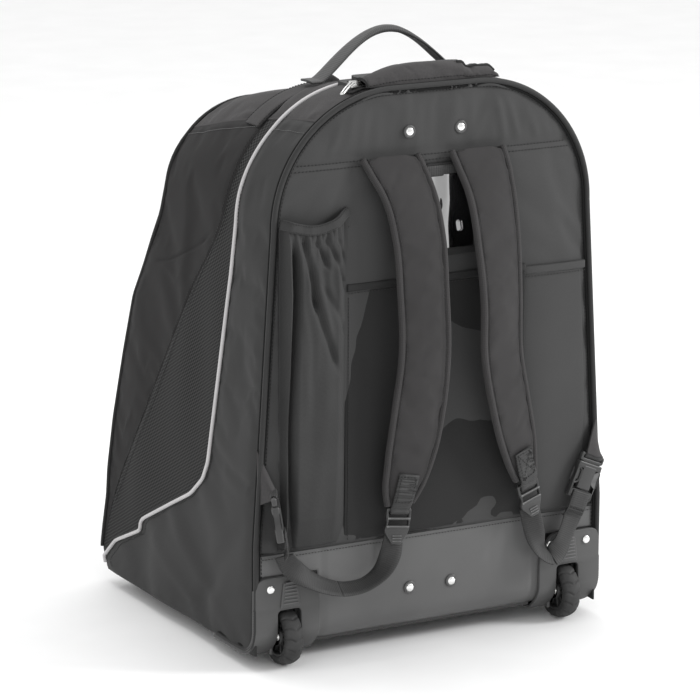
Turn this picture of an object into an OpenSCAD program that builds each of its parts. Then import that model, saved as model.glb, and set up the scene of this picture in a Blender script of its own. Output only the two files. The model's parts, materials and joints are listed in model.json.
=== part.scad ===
// Wheeled hockey equipment bag that can be carried as a backpack.
// Frame: the shoulder-strap side (the bag's back) faces -Y, +X is to the right as that side is
// seen, +Z is up, and the ground is z = 0. Shapes are drawn with y measured from the back panel.

/* [Bag body] */
// Width of the body at its base
body_w = 458; // [430:1:480]
// Height of the body's highest seam above the ground
body_top = 660; // [650:1:670]
// Height of the body's underside above the ground
ground_gap = 18; // [15:1:20]
// Thickness of the padded fabric walls
wall_t = 3; // [2:0.5:4]
// Radius of the rounded shoulders of the back outline
shoulder_r = 150; // [140:1:155]
// How far the top panel falls from back to front
top_drop = 32; // [20:1:36]
// Depth of the top panel
top_d = 248; // [240:1:256]

/* [Wheels] */
// Outer radius of the tyre
tyre_r = 34.5; // [34:0.5:35]
// Width of the tyre
tyre_w = 22; // [20:1:24]
// Distance between the middles of the two wheels
track = 374; // [370:1:378]
// Radius of the axle
axle_r = 4; // [3.5:0.5:4.5]

/* [Pull handle] */
// Distance between the middles of the two tubes
tube_gap = 120; // [110:1:130]
// Outer radius of the fixed tubes
outer_tube_r = 8; // [7.5:0.5:8.5]
// Outer radius of the sliding tubes
inner_tube_r = 6.35; // [6:0.05:6.5]

/* [Straps] */
// Width of the webbing
webbing_w = 25; // [24:1:26]
// Thickness of the webbing
webbing_t = 1.8; // [1.4:0.1:2.2]
// Thickness of the shoulder pads
pad_t = 12; // [10:1:14]

/* [Hidden] */
$fn = 48;

// y of the back panel's outer face: the whole object's box is centred on y = 0
back_y = -182;
// Where the sides begin to lean in, and where the rounded shoulders begin
straight_z = 149;
shoulder_z = body_top - shoulder_r;
shoulder_hw = 206;
arc_x = shoulder_hw - shoulder_r;
// The top panel's fall grows in between these two heights
fall_from = 400;
fall_to = 500;
// Clearance between sewn panels
seam = 0.3;
// Height of the back panel's padding and of the plastic sheet below it
kick_top = 137;
back_t = 7;
kick_t = 3;
// Side seam between the side panels and the top panel, at the back and further forward
seam_back_z = 628;
seam_front_z = 612;
seam_blend_y = 90;

// Seam lines of a side panel as [height, distance forward from the back panel]
back_line = [[0, 4], [700, 4]];
pipe_line = [[18, 412], [61, 362], [92, 292], [101, 292], [108, 286], [171, 160], [195, 132], [218, 121],
    [318, 107], [444, 90], [541, 84], [605, 77]];
mesh_line = [[45, 400], [109, 371], [234, 294], [346, 226], [444, 164], [507, 120], [552, 101], [605, 94]];
front_line = [[18, 386], [43, 400], [73, 393], [113, 382], [214, 370], [300, 352], [372, 334], [411, 312],
    [474, 293], [517, 274], [552, 260], [612, 248], [700, 248]];
// Profile of the front face as [height, distance forward]
face_line = [[18, 386], [43, 400], [73, 393], [113, 382], [214, 370], [300, 352], [372, 334], [411, 312],
    [450, 293], [485, 274], [520, 260], [552, 254], [580, 248], [700, 248]];

// Opening flap in the front face
flap_inset = 32;
flap_bottom = 78;
flap_bulge = 8;
face_shoulder_z = shoulder_z - top_drop;

// Storm flap and pull handle, all just in front of the back panel's top edge
storm_w = 172;
storm_d = 30;
storm_h = 21;
deck_z = body_top + 1;
tube_y = 48;
tray_w = 172;
tray_from = 33.5;
tray_to = 68;
grip_w = 152;
grip_d = 25;
grip_z = 652;
grip_h = 15;
button_travel = 4;
slide_clear = 0.05;

// Wheel corner
wheel_y = 10.6;
housing_in = 148;
housing_top = 110;
housing_side = body_w / 2 + 1;
housing_y = -6;
housing_len = 96;
well_w = 28;
well_top = 70;

// Shoulder straps: [x, y, z, width, turn about Z] from the yoke seam to the lower end
pad_left_route = [[-62, -9, 584, 78, 0], [-54, -14, 566, 76, 0], [-44, -22, 540, 70, -2], [-34, -30, 487, 65, -5],
    [-31, -34, 430, 63, -7], [-28, -34, 360, 63, -8], [-34, -31, 290, 66, -8], [-42, -26, 232, 62, -6],
    [-49, -22, 196, 50, -4], [-52, -20, 180, 38, -2]];
pad_right_route = [[52, -9, 584, 74, 0], [57, -14, 566, 72, 0], [62, -22, 540, 68, 4], [70, -30, 470, 64, 8],
    [73, -34, 410, 62, 12], [75, -34, 345, 62, 12], [88, -31, 285, 62, 12], [103, -26, 232, 56, 12],
    [112, -22, 202, 44, 12], [117, -20, 188, 36, 12]];
// Ladder locks and buckles: [x, y, z of the upper bar], lean about Y, turn about Z
lock_left = [[-53, -20, 172], 8, 0];
lock_right = [[120, -20, 180], -13, 12];
buckle_left_at = [[-216, -22, 212], -10, 62];
buckle_right_at = [[214, -14, 200], 23, 0];
// Webbing loops from the ladder lock down and out to the buckle: [x, y, z]
loop_left_route = [[-57, -16.4, 143], [-62, -18, 122], [-74, -21, 104], [-94, -22, 92], [-120, -22, 89],
    [-148, -22, 96], [-174, -22, 110], [-194, -22, 126], [-203, -22, 140]];
loop_right_route = [[127, -14.2, 150], [131, -17, 128], [136, -20, 108], [144, -20, 94], [155, -21, 88],
    [166, -20, 96], [176, -18, 112], [184, -17, 128], [189, -16, 138]];

// ---------------------------------------------------------------- helpers

function mix(a, b, t) = a + (b - a) * t;
function unit(v) = v / norm(v);

// Half width of the body at height z of the back outline
function half(z) = z <= straight_z ? body_w / 2
    : z <= shoulder_z ? mix(body_w / 2, shoulder_hw, (z - straight_z) / (shoulder_z - straight_z))
    : arc_x + sqrt(max(0, shoulder_r * shoulder_r - pow(z - shoulder_z, 2)));

// How far the skin lies below the back outline's height z at distance y forward
function fall(y, z) = top_drop * pow(min(1, max(0, y) / top_d), 2)
    * min(1, max(0, (z - fall_from) / (fall_to - fall_from)));

// Outward direction of the left wall at height z
function lean(z) = let (s = max(0, (z - shoulder_z) / shoulder_r)) [-sqrt(max(0, 1 - s * s)), s];

// Point of the left side wall, deep below its outer face
function side_pt(y, z, deep) = let (n = lean(z))
    [-half(z) - deep * n[0], y, z - fall(y, z) - deep * n[1]];

// Height of the side seam at distance y forward
function seam_z(y) = mix(seam_back_z, seam_front_z, min(1, y / seam_blend_y));

// The rows of a side panel above this height stretch to meet the side seam
stretch_z = 500;
row_top = 600;
function row_z(z, y) = z <= stretch_z ? z
    : mix(stretch_z, seam_z(y) - seam, (z - stretch_z) / (row_top - stretch_z));

// Distance forward of the front face at place x, z
function face_y(x, z) = lookup(z, face_line)
    + flap_bulge * (1 - pow(x / (body_w / 2), 2))
    * sin(180 * min(1, max(0, (z - flap_bottom) / (body_top - top_drop - flap_inset - flap_bottom))));

// Half width of the front face, drawn in from its outline
function face_half(z, inset) = z <= straight_z ? body_w / 2 - inset
    : z <= face_shoulder_z ? mix(body_w / 2, shoulder_hw, (z - straight_z) / (face_shoulder_z - straight_z)) - inset
    : arc_x + sqrt(max(0, pow(shoulder_r - inset, 2) - pow(z - face_shoulder_z, 2)));

// Outline of the front face as [x, z], from its lower left corner over the top to its lower right one
arc_steps = 8;
rise_steps = 10;
function face_left(inset, z_low) = concat(
    [for (i = [0:rise_steps - 1]) let (z = mix(z_low, face_shoulder_z, i / rise_steps)) [-face_half(z, inset), z]],
    [for (i = [0:arc_steps]) let (a = 90 * i / arc_steps, r = shoulder_r - inset)
        [-arc_x - r * cos(a), face_shoulder_z + r * sin(a)]]);
function face_outline(inset, z_low) = let (l = face_left(inset, z_low))
    concat(l, [for (i = [len(l) - 1:-1:0]) [-l[i][0], l[i][1]]]);

// Solid through a list of closed rings of equal length, whose points run anticlockwise
// as seen from the far end of the sweep
module skin(rings, closed = false) {
    n = len(rings);
    m = len(rings[0]);
    far = (n - 1) * m;
    walls = [for (i = [0:closed ? n - 1 : n - 2], j = [0:m - 1])
        let (k = (j + 1) % m, up = ((i + 1) % n) * m, at = i * m)
        each [[at + j, up + k, at + k], [at + j, up + j, up + k]]];
    caps = closed ? [] : [for (j = [0:m / 2 - 2])
        each [[j, j + 1, m - 2 - j], [j, m - 2 - j, m - 1 - j],
            [far + j, far + m - 2 - j, far + j + 1], [far + j, far + m - 1 - j, far + m - 2 - j]]];
    polyhedron([for (r = rings) each r], concat(walls, caps));
}

// Everything is drawn from the back panel and then moved to the object's frame
module placed() translate([0, back_y, 0]) children();
module both_sides() {
    children();
    mirror([1, 0, 0]) children();
}

// Round cord swept along points
module cord(route, r, closed = false, sides = 8) {
    n = len(route);
    skin([for (i = [0:n - 1])
        let (
            before = closed ? route[(i + n - 1) % n] : route[max(0, i - 1)],
            after = closed ? route[(i + 1) % n] : route[min(n - 1, i + 1)],
            t = unit(after - before),
            side = unit(cross(abs(t[1]) > 0.9 ? [1, 0, 0] : [0, 1, 0], t)),
            up = cross(t, side))
        [for (j = [0:sides - 1]) route[i] + r * (cos(360 * j / sides) * side + sin(360 * j / sides) * up)]], closed);
}

// Flat band swept along points; its face looks towards -Y
module ribbon(route, w, t) {
    n = len(route);
    skin([for (i = [0:n - 1])
        let (d = unit(route[min(n - 1, i + 1)] - route[max(0, i - 1)]), side = unit(cross([0, -1, 0], d)), up = cross(d, side))
        [route[i] - side * w / 2 - up * t / 2, route[i] + side * w / 2 - up * t / 2,
            route[i] + side * w / 2 + up * t / 2, route[i] - side * w / 2 + up * t / 2]]);
}

// Upright plate on the back panel: an outline in X and Z, from y_from to y_from + t
module plate(y_from, t) translate([0, y_from + t, 0]) rotate([90, 0, 0]) linear_extrude(t) children();

module rounded_square(w, h, r) {
    translate([r, 0]) square([w - 2 * r, h]);
    translate([0, r]) square([w, h - 2 * r]);
    for (x = [r, w - r], y = [r, h - r]) translate([x, y]) circle(r);
}

// ---------------------------------------------------------------- fabric body

module arch(inset, z_low) {
    left = concat(
        [[-(body_w / 2 - inset), z_low], [-(body_w / 2 - inset), max(straight_z, z_low)]],
        [for (i = [0:2 * arc_steps]) let (a = 90 * i / (2 * arc_steps), r = shoulder_r - inset)
            [-arc_x - r * cos(a), shoulder_z + r * sin(a)]]);
    polygon(concat(left, [for (i = [len(left) - 1:-1:0]) [-left[i][0], left[i][1]]]));
}

module back_panel() color("#4b4b4b") placed() plate(0, back_t) arch(4, kick_top + seam);

module kick_panel() color("#58595b") placed() plate(-1, kick_t) difference() {
    translate([-body_w / 2 + 4, ground_gap + 3]) square([body_w - 8, kick_top - ground_gap - 3]);
    both_sides() translate([housing_in - 3, 0]) square([body_w, housing_top + 2]);
}

// Outline of the underside, cut away round the two wheel boxes
module base_outline(inset) difference() {
    translate([-body_w / 2 + inset, 4 + inset]) square([body_w - 2 * inset, 378 - 2 * inset]);
    both_sides() translate([housing_in - 4, -1]) square([body_w, 58]);
}

module bottom_panel() color("#3b3b3b") placed() translate([0, 0, ground_gap])
    linear_extrude(wall_t) base_outline(wall_t + seam);

module base_board() color("#2a2a2a") placed() translate([0, 0, ground_gap + wall_t + seam])
    linear_extrude(4) base_outline(8);

// Panel of the left side wall between two seam lines, from height z_low up to the side seam. The
// row heights are those where a seam line bends, so that neighbours share one straight edge
side_rows = [61, 73, 92, 101, 108, 113, 140, 171, 195, 218, 234, 270, 300, 318, 346, 372, 411, 444,
    474, 507, 517, 541, 552, 575, row_top];
side_cols = 3;
module side_panel(z_low, line_a, line_b) skin([for (z = concat([z_low], side_rows))
    let (
        a = lookup(z, line_a) + seam,
        b = lookup(z, line_b) - seam,
        ys = [for (k = [0:side_cols]) mix(a, b, k / side_cols)])
    concat([for (y = ys) side_pt(y, row_z(z, y), wall_t)],
        [for (k = [side_cols:-1:0]) side_pt(ys[k], row_z(z, ys[k]), 0)])]);

module side_gusset_left() color("#3b3b3b") placed() side_panel(ground_gap, back_line,
    [for (p = pipe_line) [p[0], min(p[1], lookup(p[0], front_line))]]);
module side_gusset_right() mirror([1, 0, 0]) side_gusset_left();
module mesh_panel_left() color("#222222") placed() side_panel(50, pipe_line, mesh_line);
module mesh_panel_right() mirror([1, 0, 0]) mesh_panel_left();
module front_side_left() color("#2d2b2c") placed() side_panel(52, mesh_line, front_line);
module front_side_right() mirror([1, 0, 0]) front_side_left();

// Angle up the left shoulder arc at which height z lies
function arc_angle(z) = asin(min(1, (z - shoulder_z) / shoulder_r));
// Point of the top skin at arc angle a, distance y forward, deep below its outer face
function top_pt(a, y, deep) = [-arc_x - (shoulder_r - deep) * cos(a), y,
    shoulder_z + (shoulder_r - deep) * sin(a) - fall(y, body_top)];

top_cols = 5;
module top_strip(angles, y_from, y_to, mirrored) {
    ys = [for (k = [0:top_cols]) mix(y_from, y_to, k / top_cols)];
    function ring(f) = concat(
        [for (y = ys) top_pt(mix(arc_angle(seam_z(y)), 90, f), y, wall_t)],
        [for (k = [top_cols:-1:0]) top_pt(mix(arc_angle(seam_z(ys[k])), 90, f), ys[k], 0)]);
    function flipped(r) = [for (p = r) [-p[0], p[1], p[2]]];
    left = [for (f = angles) ring(f)];
    right = [for (i = [len(angles) - 1:-1:0]) flipped(ring(angles[i]))];
    skin(mirrored ? concat(left, right) : left);
}

band_y = 71;
module top_panel() color("#484646") placed() top_strip([for (i = [0:8]) i / 8], band_y + seam, top_d - seam, true);
module top_band_left() color("#484646") placed() top_strip([for (i = [0:6]) 0.7 * i / 6], 4, band_y - seam, false);
module top_band_right() mirror([1, 0, 0]) top_band_left();

module front_border() color("#2d2b2c") placed() {
    outer = face_outline(0, ground_gap + wall_t);
    inner = face_outline(flap_inset - 6, flap_bottom - 2);
    skin([for (i = [0:len(outer) - 1])
        let (o = outer[i], n = inner[i], yo = face_y(o[0], o[1]), yn = face_y(n[0], n[1]))
        [[n[0], yn + seam, n[1]], [n[0], yn + wall_t, n[1]], [o[0], yo + wall_t, o[1]], [o[0], yo + seam, o[1]]]], true);
}

flap_rows = 22;
flap_cols = 8;
module front_flap() color("#2d2b2c") placed() {
    top = body_top - top_drop - flap_inset;
    skin([for (i = [0:flap_rows])
        let (z = mix(flap_bottom, top, i / flap_rows), w = face_half(z, flap_inset),
            xs = [for (k = [0:flap_cols]) mix(-w, w, k / flap_cols)])
        concat([for (x = xs) [x, face_y(x, z) + seam, z]],
            [for (k = [flap_cols:-1:0]) [xs[k], face_y(xs[k], z) + wall_t, z]])]);
}

// Zip chain round the flap, on the border's side of the gap
module main_zip() color("#1c1c1c") placed() {
    o = face_outline(flap_inset - 5.7, flap_bottom);
    n = face_outline(flap_inset - 1, flap_bottom);
    skin([for (i = [len(o) - 1:-1:0])
        let (yo = face_y(o[i][0], o[i][1]), yn = face_y(n[i][0], n[i][1]))
        [[o[i][0], yo + 0.5, o[i][1]], [o[i][0], yo + wall_t, o[i][1]],
            [n[i][0], yn + wall_t, n[i][1]], [n[i][0], yn + 0.5, n[i][1]]]]);
}

// Two zip sliders meet at the middle of the flap's upper edge; each has a pull that hangs from it
main_slider_z = 588;
main_slider_x = 9;
main_slider_y = lookup(main_slider_z, face_line) + wall_t + 1.8;
// The flap's face leans out by this much below the sliders
main_slider_lean = 15;
module at_main_slider(x) translate([x, main_slider_y, main_slider_z]) rotate([main_slider_lean, 0, 0]) children();
module main_zip_sliders() color("#8a8a8a") placed() both_sides() at_main_slider(main_slider_x) difference() {
    translate([-5, 0, -6]) cube([10, 6, 12]);
    translate([-1.6, 2.5, -7]) cube([3.2, 4, 14]);
}
module main_pull(x) color("#8a8a8a") placed() at_main_slider(x) translate([0, 4.2, 0])
    rotate([0, 90, 0]) translate([0, 0, -1.2]) linear_extrude(2.4) difference() {
        translate([-1.5, -1.5]) rounded_square(32, 3, 1.2);
        translate([24, 0]) circle(0.7);
    }
module main_zip_pull_left() main_pull(-main_slider_x);
module main_zip_pull_right() main_pull(main_slider_x);

// ---------------------------------------------------------------- piping

function back_outline(r) = let (
        left = concat(
            [for (z = [kick_top - 24, 300, 420]) [-half(z), r, z]],
            [for (i = [0:2 * arc_steps]) let (a = 90 * i / (2 * arc_steps))
                [-arc_x - shoulder_r * cos(a), r, shoulder_z + shoulder_r * sin(a)]]))
    concat(left, [for (i = [len(left) - 1:-1:0]) [-left[i][0], r, left[i][2]]]);
module back_piping() color("#2b2b2b") placed() translate([0, -4.5, 0]) cord(back_outline(0), 4.2);

module reflective_piping_left() color("#b5b5b5") placed() {
    top = [for (a = [78, 66, 56]) top_pt(a, band_y, -2.5)];
    low = [for (z = [600, 560, 520, 470, 400, 318, 250, 218, 195, 171, 140, 108, 101, 92, 76, 61, 32])
        side_pt(lookup(z, pipe_line), z, -2.6)];
    cord(concat(top, low), 2.2);
}
module reflective_piping_right() mirror([1, 0, 0]) reflective_piping_left();

// Bound edge where the front face meets the sides and top
module front_piping() color("#1c1c1c") placed() {
    o = face_outline(-2.2, 60);
    cord([for (p = o) [p[0], lookup(p[1], face_line) + 2, p[1]]], 2);
}

// ---------------------------------------------------------------- back panel pockets

pocket_x = -200;
pocket_w = 88;
pocket_top = 512;
pocket_low = 141;
// How far the bottle pocket stands off the panel, by height
pocket_out = [[141, 3], [190, 17], [300, 23], [420, 23], [512, 15]];
pocket_cols = 8;
pocket_rows = 12;
function pocket_stand(f, z) = lookup(z, pocket_out) * pow(sin(180 * f), 0.55);
// Front outline of the pocket at height z, drawn in by less
function pocket_row(z, less) = [for (k = [0:pocket_cols])
    [pocket_x + less + (pocket_w - 2 * less) * k / pocket_cols,
        -0.8 - max(0, pocket_stand(k / pocket_cols, z) - less), z]];
// Solid between the panel and the pocket's front, in rings that run upwards
module pocket_block(z_low, z_high, less, y_back) skin([for (i = [0:pocket_rows])
    let (z = mix(z_low, z_high, i / pocket_rows), r = pocket_row(z, less))
    concat(r, [for (k = [pocket_cols:-1:0]) [r[k][0], y_back, z]])]);
module bottle_pocket() color("#404040") placed() difference() {
    pocket_block(pocket_low, pocket_top, 0, -0.3);
    pocket_block(pocket_low + 8, pocket_top + 1, 2.5, 1);
}

slip_x = 122;
slip_w = 82;
slip_low = 141;
slip_top = 436;
slip_out = 9;
module slip_pocket() color("#444444") placed() difference() {
    plate(-slip_out, slip_out - 0.3) translate([slip_x, slip_low]) square([slip_w, slip_top - slip_low]);
    translate([slip_x + 2, -slip_out + 2, slip_low + 3]) cube([slip_w - 4, slip_out, slip_top]);
}

id_x = -12;
id_z = 462;
id_w = 70;
id_h = 106;
module id_frame() color("#111111") placed() plate(-2.6, 2.3) difference() {
    translate([id_x, id_z]) rounded_square(id_w, id_h, 4);
    translate([id_x + 7, id_z + 9]) square([id_w - 14, id_h - 20]);
}
module id_window() color([0.8, 0.85, 0.9, 0.4]) placed() plate(-1.4, 0.8)
    translate([id_x + 7.2, id_z + 9.2]) square([id_w - 14.4, id_h - 20.4]);

// ---------------------------------------------------------------- storm flap and its zip

module zip_deck() color("#2b2b2b") placed() translate([-86, 4, body_top - 3]) cube([tray_w, tray_from - 4 - seam, 3.5]);

// A padded channel, open at its left end, so that the zip slider runs inside it
module storm_flap() color("#484646") placed() translate([-storm_w / 2 + 6, 0, deck_z]) difference() {
    rotate([90, 0, 90]) linear_extrude(storm_w - 6) difference() {
        union() {
            translate([2, 0]) square([storm_d, storm_h - 9]);
            translate([11, storm_h - 9]) square([storm_d - 18, 9]);
            translate([11, storm_h - 9]) circle(9);
            translate([storm_d - 7, storm_h - 9]) circle(9);
        }
        translate([5.5, -1]) square([storm_d - 7, storm_h - 4]);
    }
}

slider_x = -92;
slider_y = 17;
module top_zip_slider() color("#8a8a8a") placed() translate([slider_x, slider_y, deck_z + 0.4]) difference() {
    translate([-6, -4.5, 0]) cube([12, 9, 6.5]);
    translate([-7, -1.7, 2.8]) cube([14, 3.4, 4]);
}
pull_z = deck_z + 5.2;
module top_zip_pull() color("#b0b0b0") placed() translate([slider_x, slider_y, pull_z]) difference() {
    translate([-30, -1.2, -1.2]) cube([31.5, 2.4, 2.4]);
    translate([-26, 0, -2]) cylinder(r = 0.6, h = 4);
}

// ---------------------------------------------------------------- pull handle

module tube_places() for (s = [-1, 1]) translate([s * tube_gap / 2, tube_y, 0]) children();

// Recessed tray that the grip drops into, with a hole for each tube
tray_floor = 634;
module handle_tray() color("#262626") placed() difference() {
    translate([-tray_w / 2, tray_from, tray_floor]) cube([tray_w, tray_to - tray_from, body_top - tray_floor]);
    translate([-grip_w / 2 - 3, tube_y - grip_d / 2 - 1, tray_floor + 3])
        cube([grip_w + 6, grip_d + 2, body_top - tray_floor]);
    tube_places() translate([0, 0, tray_floor - 1]) cylinder(r = outer_tube_r, h = 6);
}

tube_low = 42;
module handle_outer_tubes() color("#9a9a9a") placed() tube_places() translate([0, 0, tube_low]) difference() {
    cylinder(r = outer_tube_r, h = tray_floor + 3 - tube_low);
    translate([0, 0, -1]) cylinder(r = inner_tube_r + slide_clear, h = body_top);
}

inner_low = 80;
module handle_inner_tubes() color("#c0c0c0") placed() tube_places() translate([0, 0, inner_low]) difference() {
    cylinder(r = inner_tube_r, h = grip_z - inner_low);
    translate([0, 0, -1]) cylinder(r = inner_tube_r - 1.2, h = body_top);
}

button_w = 34;
button_d = 13;
module handle_grip() color("#303030") placed() difference() {
    translate([-grip_w / 2, tube_y - grip_d / 2, grip_z]) linear_extrude(grip_h) rounded_square(grip_w, grip_d, 8);
    translate([-button_w / 2, tube_y - button_d / 2, grip_z + grip_h - 9]) cube([button_w, button_d, 20]);
}
module handle_button() color("#6a6a6a") placed()
    translate([-button_w / 2 + 0.3, tube_y - button_d / 2 + 0.3, grip_z + grip_h - 4.5])
        cube([button_w - 0.6, button_d - 0.6, 5]);

// Brackets that hold the tubes off the back panel, near their two ends
module bracket(z) difference() {
    translate([-tube_gap / 2 - 14, back_t + 0.2, z - 9]) cube([tube_gap + 28, tube_y - back_t + 10, 18]);
    translate([-tube_gap / 2 + 14, back_t + 6, z - 10]) cube([tube_gap - 28, tube_y, 20]);
    tube_places() translate([0, 0, z - 10]) cylinder(r = outer_tube_r, h = 20);
}
module handle_brackets() color("#303030") placed() {
    bracket(609);
    bracket(72);
}

rivet_r = 5;
module rivet() {
    rotate([90, 0, 0]) cylinder(r = rivet_r + 2, h = 1);
    translate([0, -1, 0]) rotate([90, 0, 0]) cylinder(r = rivet_r, h = 2);
}
module back_rivets() color("#d8d8d8") placed() {
    both_sides() translate([33.5, 0, 609]) rivet();
    both_sides() translate([28, -1, 72]) rivet();
}

// ---------------------------------------------------------------- carry handle

carry_y = 112;
carry_half = 76;
carry_reach = 90;
carry_rise = 50;
carry_w = 27;
carry_t = 4;
carry_z = body_top - fall(carry_y, body_top) + 0.6;
carry_steps = 20;
function carry_spot(i) = let (x = mix(-carry_half, carry_half, i / carry_steps))
    [x, carry_y, carry_z + 4 + carry_rise * pow(cos(90 * x / carry_reach), 1.15)
        - 3.4 * pow(abs(x) / carry_reach, 8)];
function carry_ring(i) = let (
        t = unit(carry_spot(min(carry_steps, i + 1)) - carry_spot(max(0, i - 1))),
        c = carry_spot(i),
        w = [0, carry_w / 2, 0],
        h = cross(t, [0, 1, 0]) * carry_t / 2)
    [c - w - h, c + w - h, c + w + h, c - w + h];
module carry_handle() color("#3c3c3a") placed() skin([for (i = [0:carry_steps]) carry_ring(i)]);
// Webbing sewn along the top panel, either side of the loop, which rises to meet its ends
module handle_anchors() color("#55534f") placed() both_sides() {
    angles = [for (i = [0:7]) mix(46, 76, i / 7)];
    flat_rings = [for (a = angles) [top_pt(a, carry_y - 16, -0.4), top_pt(a, carry_y + 20, -0.4),
        top_pt(a, carry_y + 20, -2.6), top_pt(a, carry_y - 16, -2.6)]];
    skin(concat(flat_rings, [[for (p = carry_ring(0)) p - [3.4, 0, 1.4]]]));
}

// ---------------------------------------------------------------- wheels

module housing_face() difference() {
    polygon([[housing_in, 14], [housing_side, 14], [housing_side, housing_top - 14], [housing_side - 12, housing_top],
        [housing_in + 20, housing_top], [housing_in + 12, housing_top - 8], [housing_in, 40]]);
    translate([track / 2 - well_w / 2, 0]) square([well_w, well_top]);
}
module wheel_housing_right() color("#5a5a5a") placed() difference() {
    union() {
        plate(housing_y, 4.6) housing_face();
        // Wrap round the outer edge of the bag, and the skid below it
        translate([housing_side - 0.7, housing_y, 14]) rotate([90, 0, 90]) linear_extrude(3)
            polygon([[0, 0], [housing_len, 0], [housing_len - 8, 12], [40, 40], [20, housing_top - 28], [0, housing_top - 28]]);
        translate([housing_in, housing_y, 14]) cube([housing_side + 2.3 - housing_in, housing_len, 3.6]);
        // Box round the wheel
        translate([track / 2 - well_w / 2 - 3, housing_y, 14]) cube([well_w + 6, 62, well_top - 11]);
        // Raised panel above the wheel
        plate(housing_y - 2, 2.5) polygon([[track / 2 - 13, well_top + 2], [track / 2 + 13, well_top + 2],
            [track / 2 + 8, housing_top - 7], [track / 2 - 8, housing_top - 7]]);
    }
    translate([track / 2 - well_w / 2, housing_y - 5, 0]) cube([well_w, 64, well_top]);
    translate([track / 2 - well_w, wheel_y, tyre_r]) rotate([0, 90, 0]) cylinder(r = axle_r, h = 2 * well_w);
}
module wheel_housing_left() mirror([1, 0, 0]) wheel_housing_right();

module housing_rivets() color("#d8d8d8") placed() both_sides() for (x = [162, 212])
    translate([x, housing_y, 97]) rotate([90, 0, 0]) cylinder(r = rivet_r, h = 2);

module axles() color("#b8b8b8") placed() both_sides()
    translate([track / 2 - well_w / 2 - 4.5, wheel_y, tyre_r]) rotate([0, 90, 0]) cylinder(r = axle_r, h = well_w + 9);

module wheel_place() placed() translate([track / 2, wheel_y, tyre_r]) rotate([0, 90, 0]) children();

hub_r = 25;
bearing_r = 11;
bearing_w = 7;
hub_w = 19;
module tyre_right() color("#1a1a1a") wheel_place() difference() {
    cylinder(r = tyre_r, h = tyre_w, center = true);
    cylinder(r = hub_r, h = tyre_w + 2, center = true);
    for (i = [0:23]) rotate([0, 0, 15 * i]) translate([tyre_r - 1.6, -1.2, -tyre_w / 2 - 1])
        cube([4, 2.4, tyre_w / 2 - 2]);
    for (i = [0:23]) rotate([0, 0, 15 * i + 7.5]) translate([tyre_r - 1.6, -1.2, 3])
        cube([4, 2.4, tyre_w / 2]);
}
module hub_right() color("#101010") wheel_place() difference() {
    cylinder(r = hub_r, h = hub_w, center = true);
    cylinder(r = bearing_r, h = hub_w + 2, center = true);
    for (s = [-1, 1]) translate([0, 0, s * hub_w / 2]) difference() {
        cylinder(r = hub_r - 2.5, h = 12, center = true);
        cylinder(r = bearing_r + 2.5, h = 14, center = true);
        for (i = [0:4]) rotate([0, 0, 72 * i]) translate([0, -2, -7]) cube([hub_r, 4, 14]);
    }
}
module wheel_bearings_right() color("#c8c8c8") wheel_place() for (s = [-1, 1])
    translate([0, 0, s * (hub_w - bearing_w) / 2]) difference() {
        cylinder(r = bearing_r, h = bearing_w, center = true);
        cylinder(r = axle_r + slide_clear, h = bearing_w + 2, center = true);
        for (e = [-1, 1]) translate([0, 0, e * bearing_w / 2]) difference() {
            cylinder(r = 9.2, h = 1, center = true);
            cylinder(r = 6.2, h = 2, center = true);
        }
    }
module tyre_left() mirror([1, 0, 0]) tyre_right();
module hub_left() mirror([1, 0, 0]) hub_right();
module wheel_bearings_left() mirror([1, 0, 0]) wheel_bearings_right();

foot_x = 150;
foot_y = 318;
foot_w = 28;
foot_len = 46;
module front_feet() color("#1a1a1a") placed() both_sides()
    translate([foot_x - foot_w / 2, foot_y, 0]) linear_extrude(ground_gap) rounded_square(foot_w, foot_len, 8);

// ---------------------------------------------------------------- shoulder straps

module pad(route) skin([for (p = route)
    let (c = [p[0], p[1], p[2]], w = p[3] / 2, s = [cos(p[4]), sin(p[4]), 0], n = [-sin(p[4]), cos(p[4]), 0],
        h = pad_t / 2)
    [c - s * w + n * (h - 3), c - s * (w - 4) + n * h, c + s * (w - 4) + n * h, c + s * w + n * (h - 3),
        c + s * w - n * (h - 3), c + s * (w - 4) - n * h, c - s * (w - 4) - n * h, c - s * w - n * (h - 3)]]);

// Parts on the webbing hang from their upper bar: leaned about Y, then turned about Z
module hung(at) placed() translate(at[0]) rotate([0, at[1], 0]) rotate([0, 0, at[2]]) children();

// The pad ends in a webbing loop that the ladder lock's upper bar turns in
bar_r = 2;
module end_loop() difference() {
    union() {
        rotate([0, 90, 0]) cylinder(r = bar_r + webbing_t, h = webbing_w, center = true);
        translate([-webbing_w / 2, -webbing_t - 1.2, 0]) cube([webbing_w, 2 * webbing_t, 12]);
    }
    rotate([0, 90, 0]) cylinder(r = bar_r + slide_clear, h = webbing_w + 2, center = true);
}
module strap_pad_left() color("#484646") {
    placed() pad(pad_left_route);
    hung(lock_left) end_loop();
}
module strap_pad_right() color("#484646") {
    placed() pad(pad_right_route);
    hung(lock_right) end_loop();
}

lock_w = 33;
lock_len = 30;
module ladder_lock() {
    rotate([0, 90, 0]) cylinder(r = bar_r, h = lock_w - 2, center = true);
    difference() {
        plate(-2, 4) translate([-lock_w / 2, -lock_len]) rounded_square(lock_w, lock_len + 3, 2);
        translate([-webbing_w / 2 - 0.6, -4, -7]) cube([webbing_w + 1.2, 8, 13]);
        translate([-webbing_w / 2 - 0.6, -4, -17]) cube([webbing_w + 1.2, 8, 7]);
    }
    plate(-3, 3) polygon([[-12, -lock_len + 4], [12, -lock_len + 4], [6, -lock_len - 8], [-6, -lock_len - 8]]);
}
module ladder_lock_left() color("#2a2a2a") hung(lock_left) ladder_lock();
module ladder_lock_right() color("#2a2a2a") hung(lock_right) ladder_lock();

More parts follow.
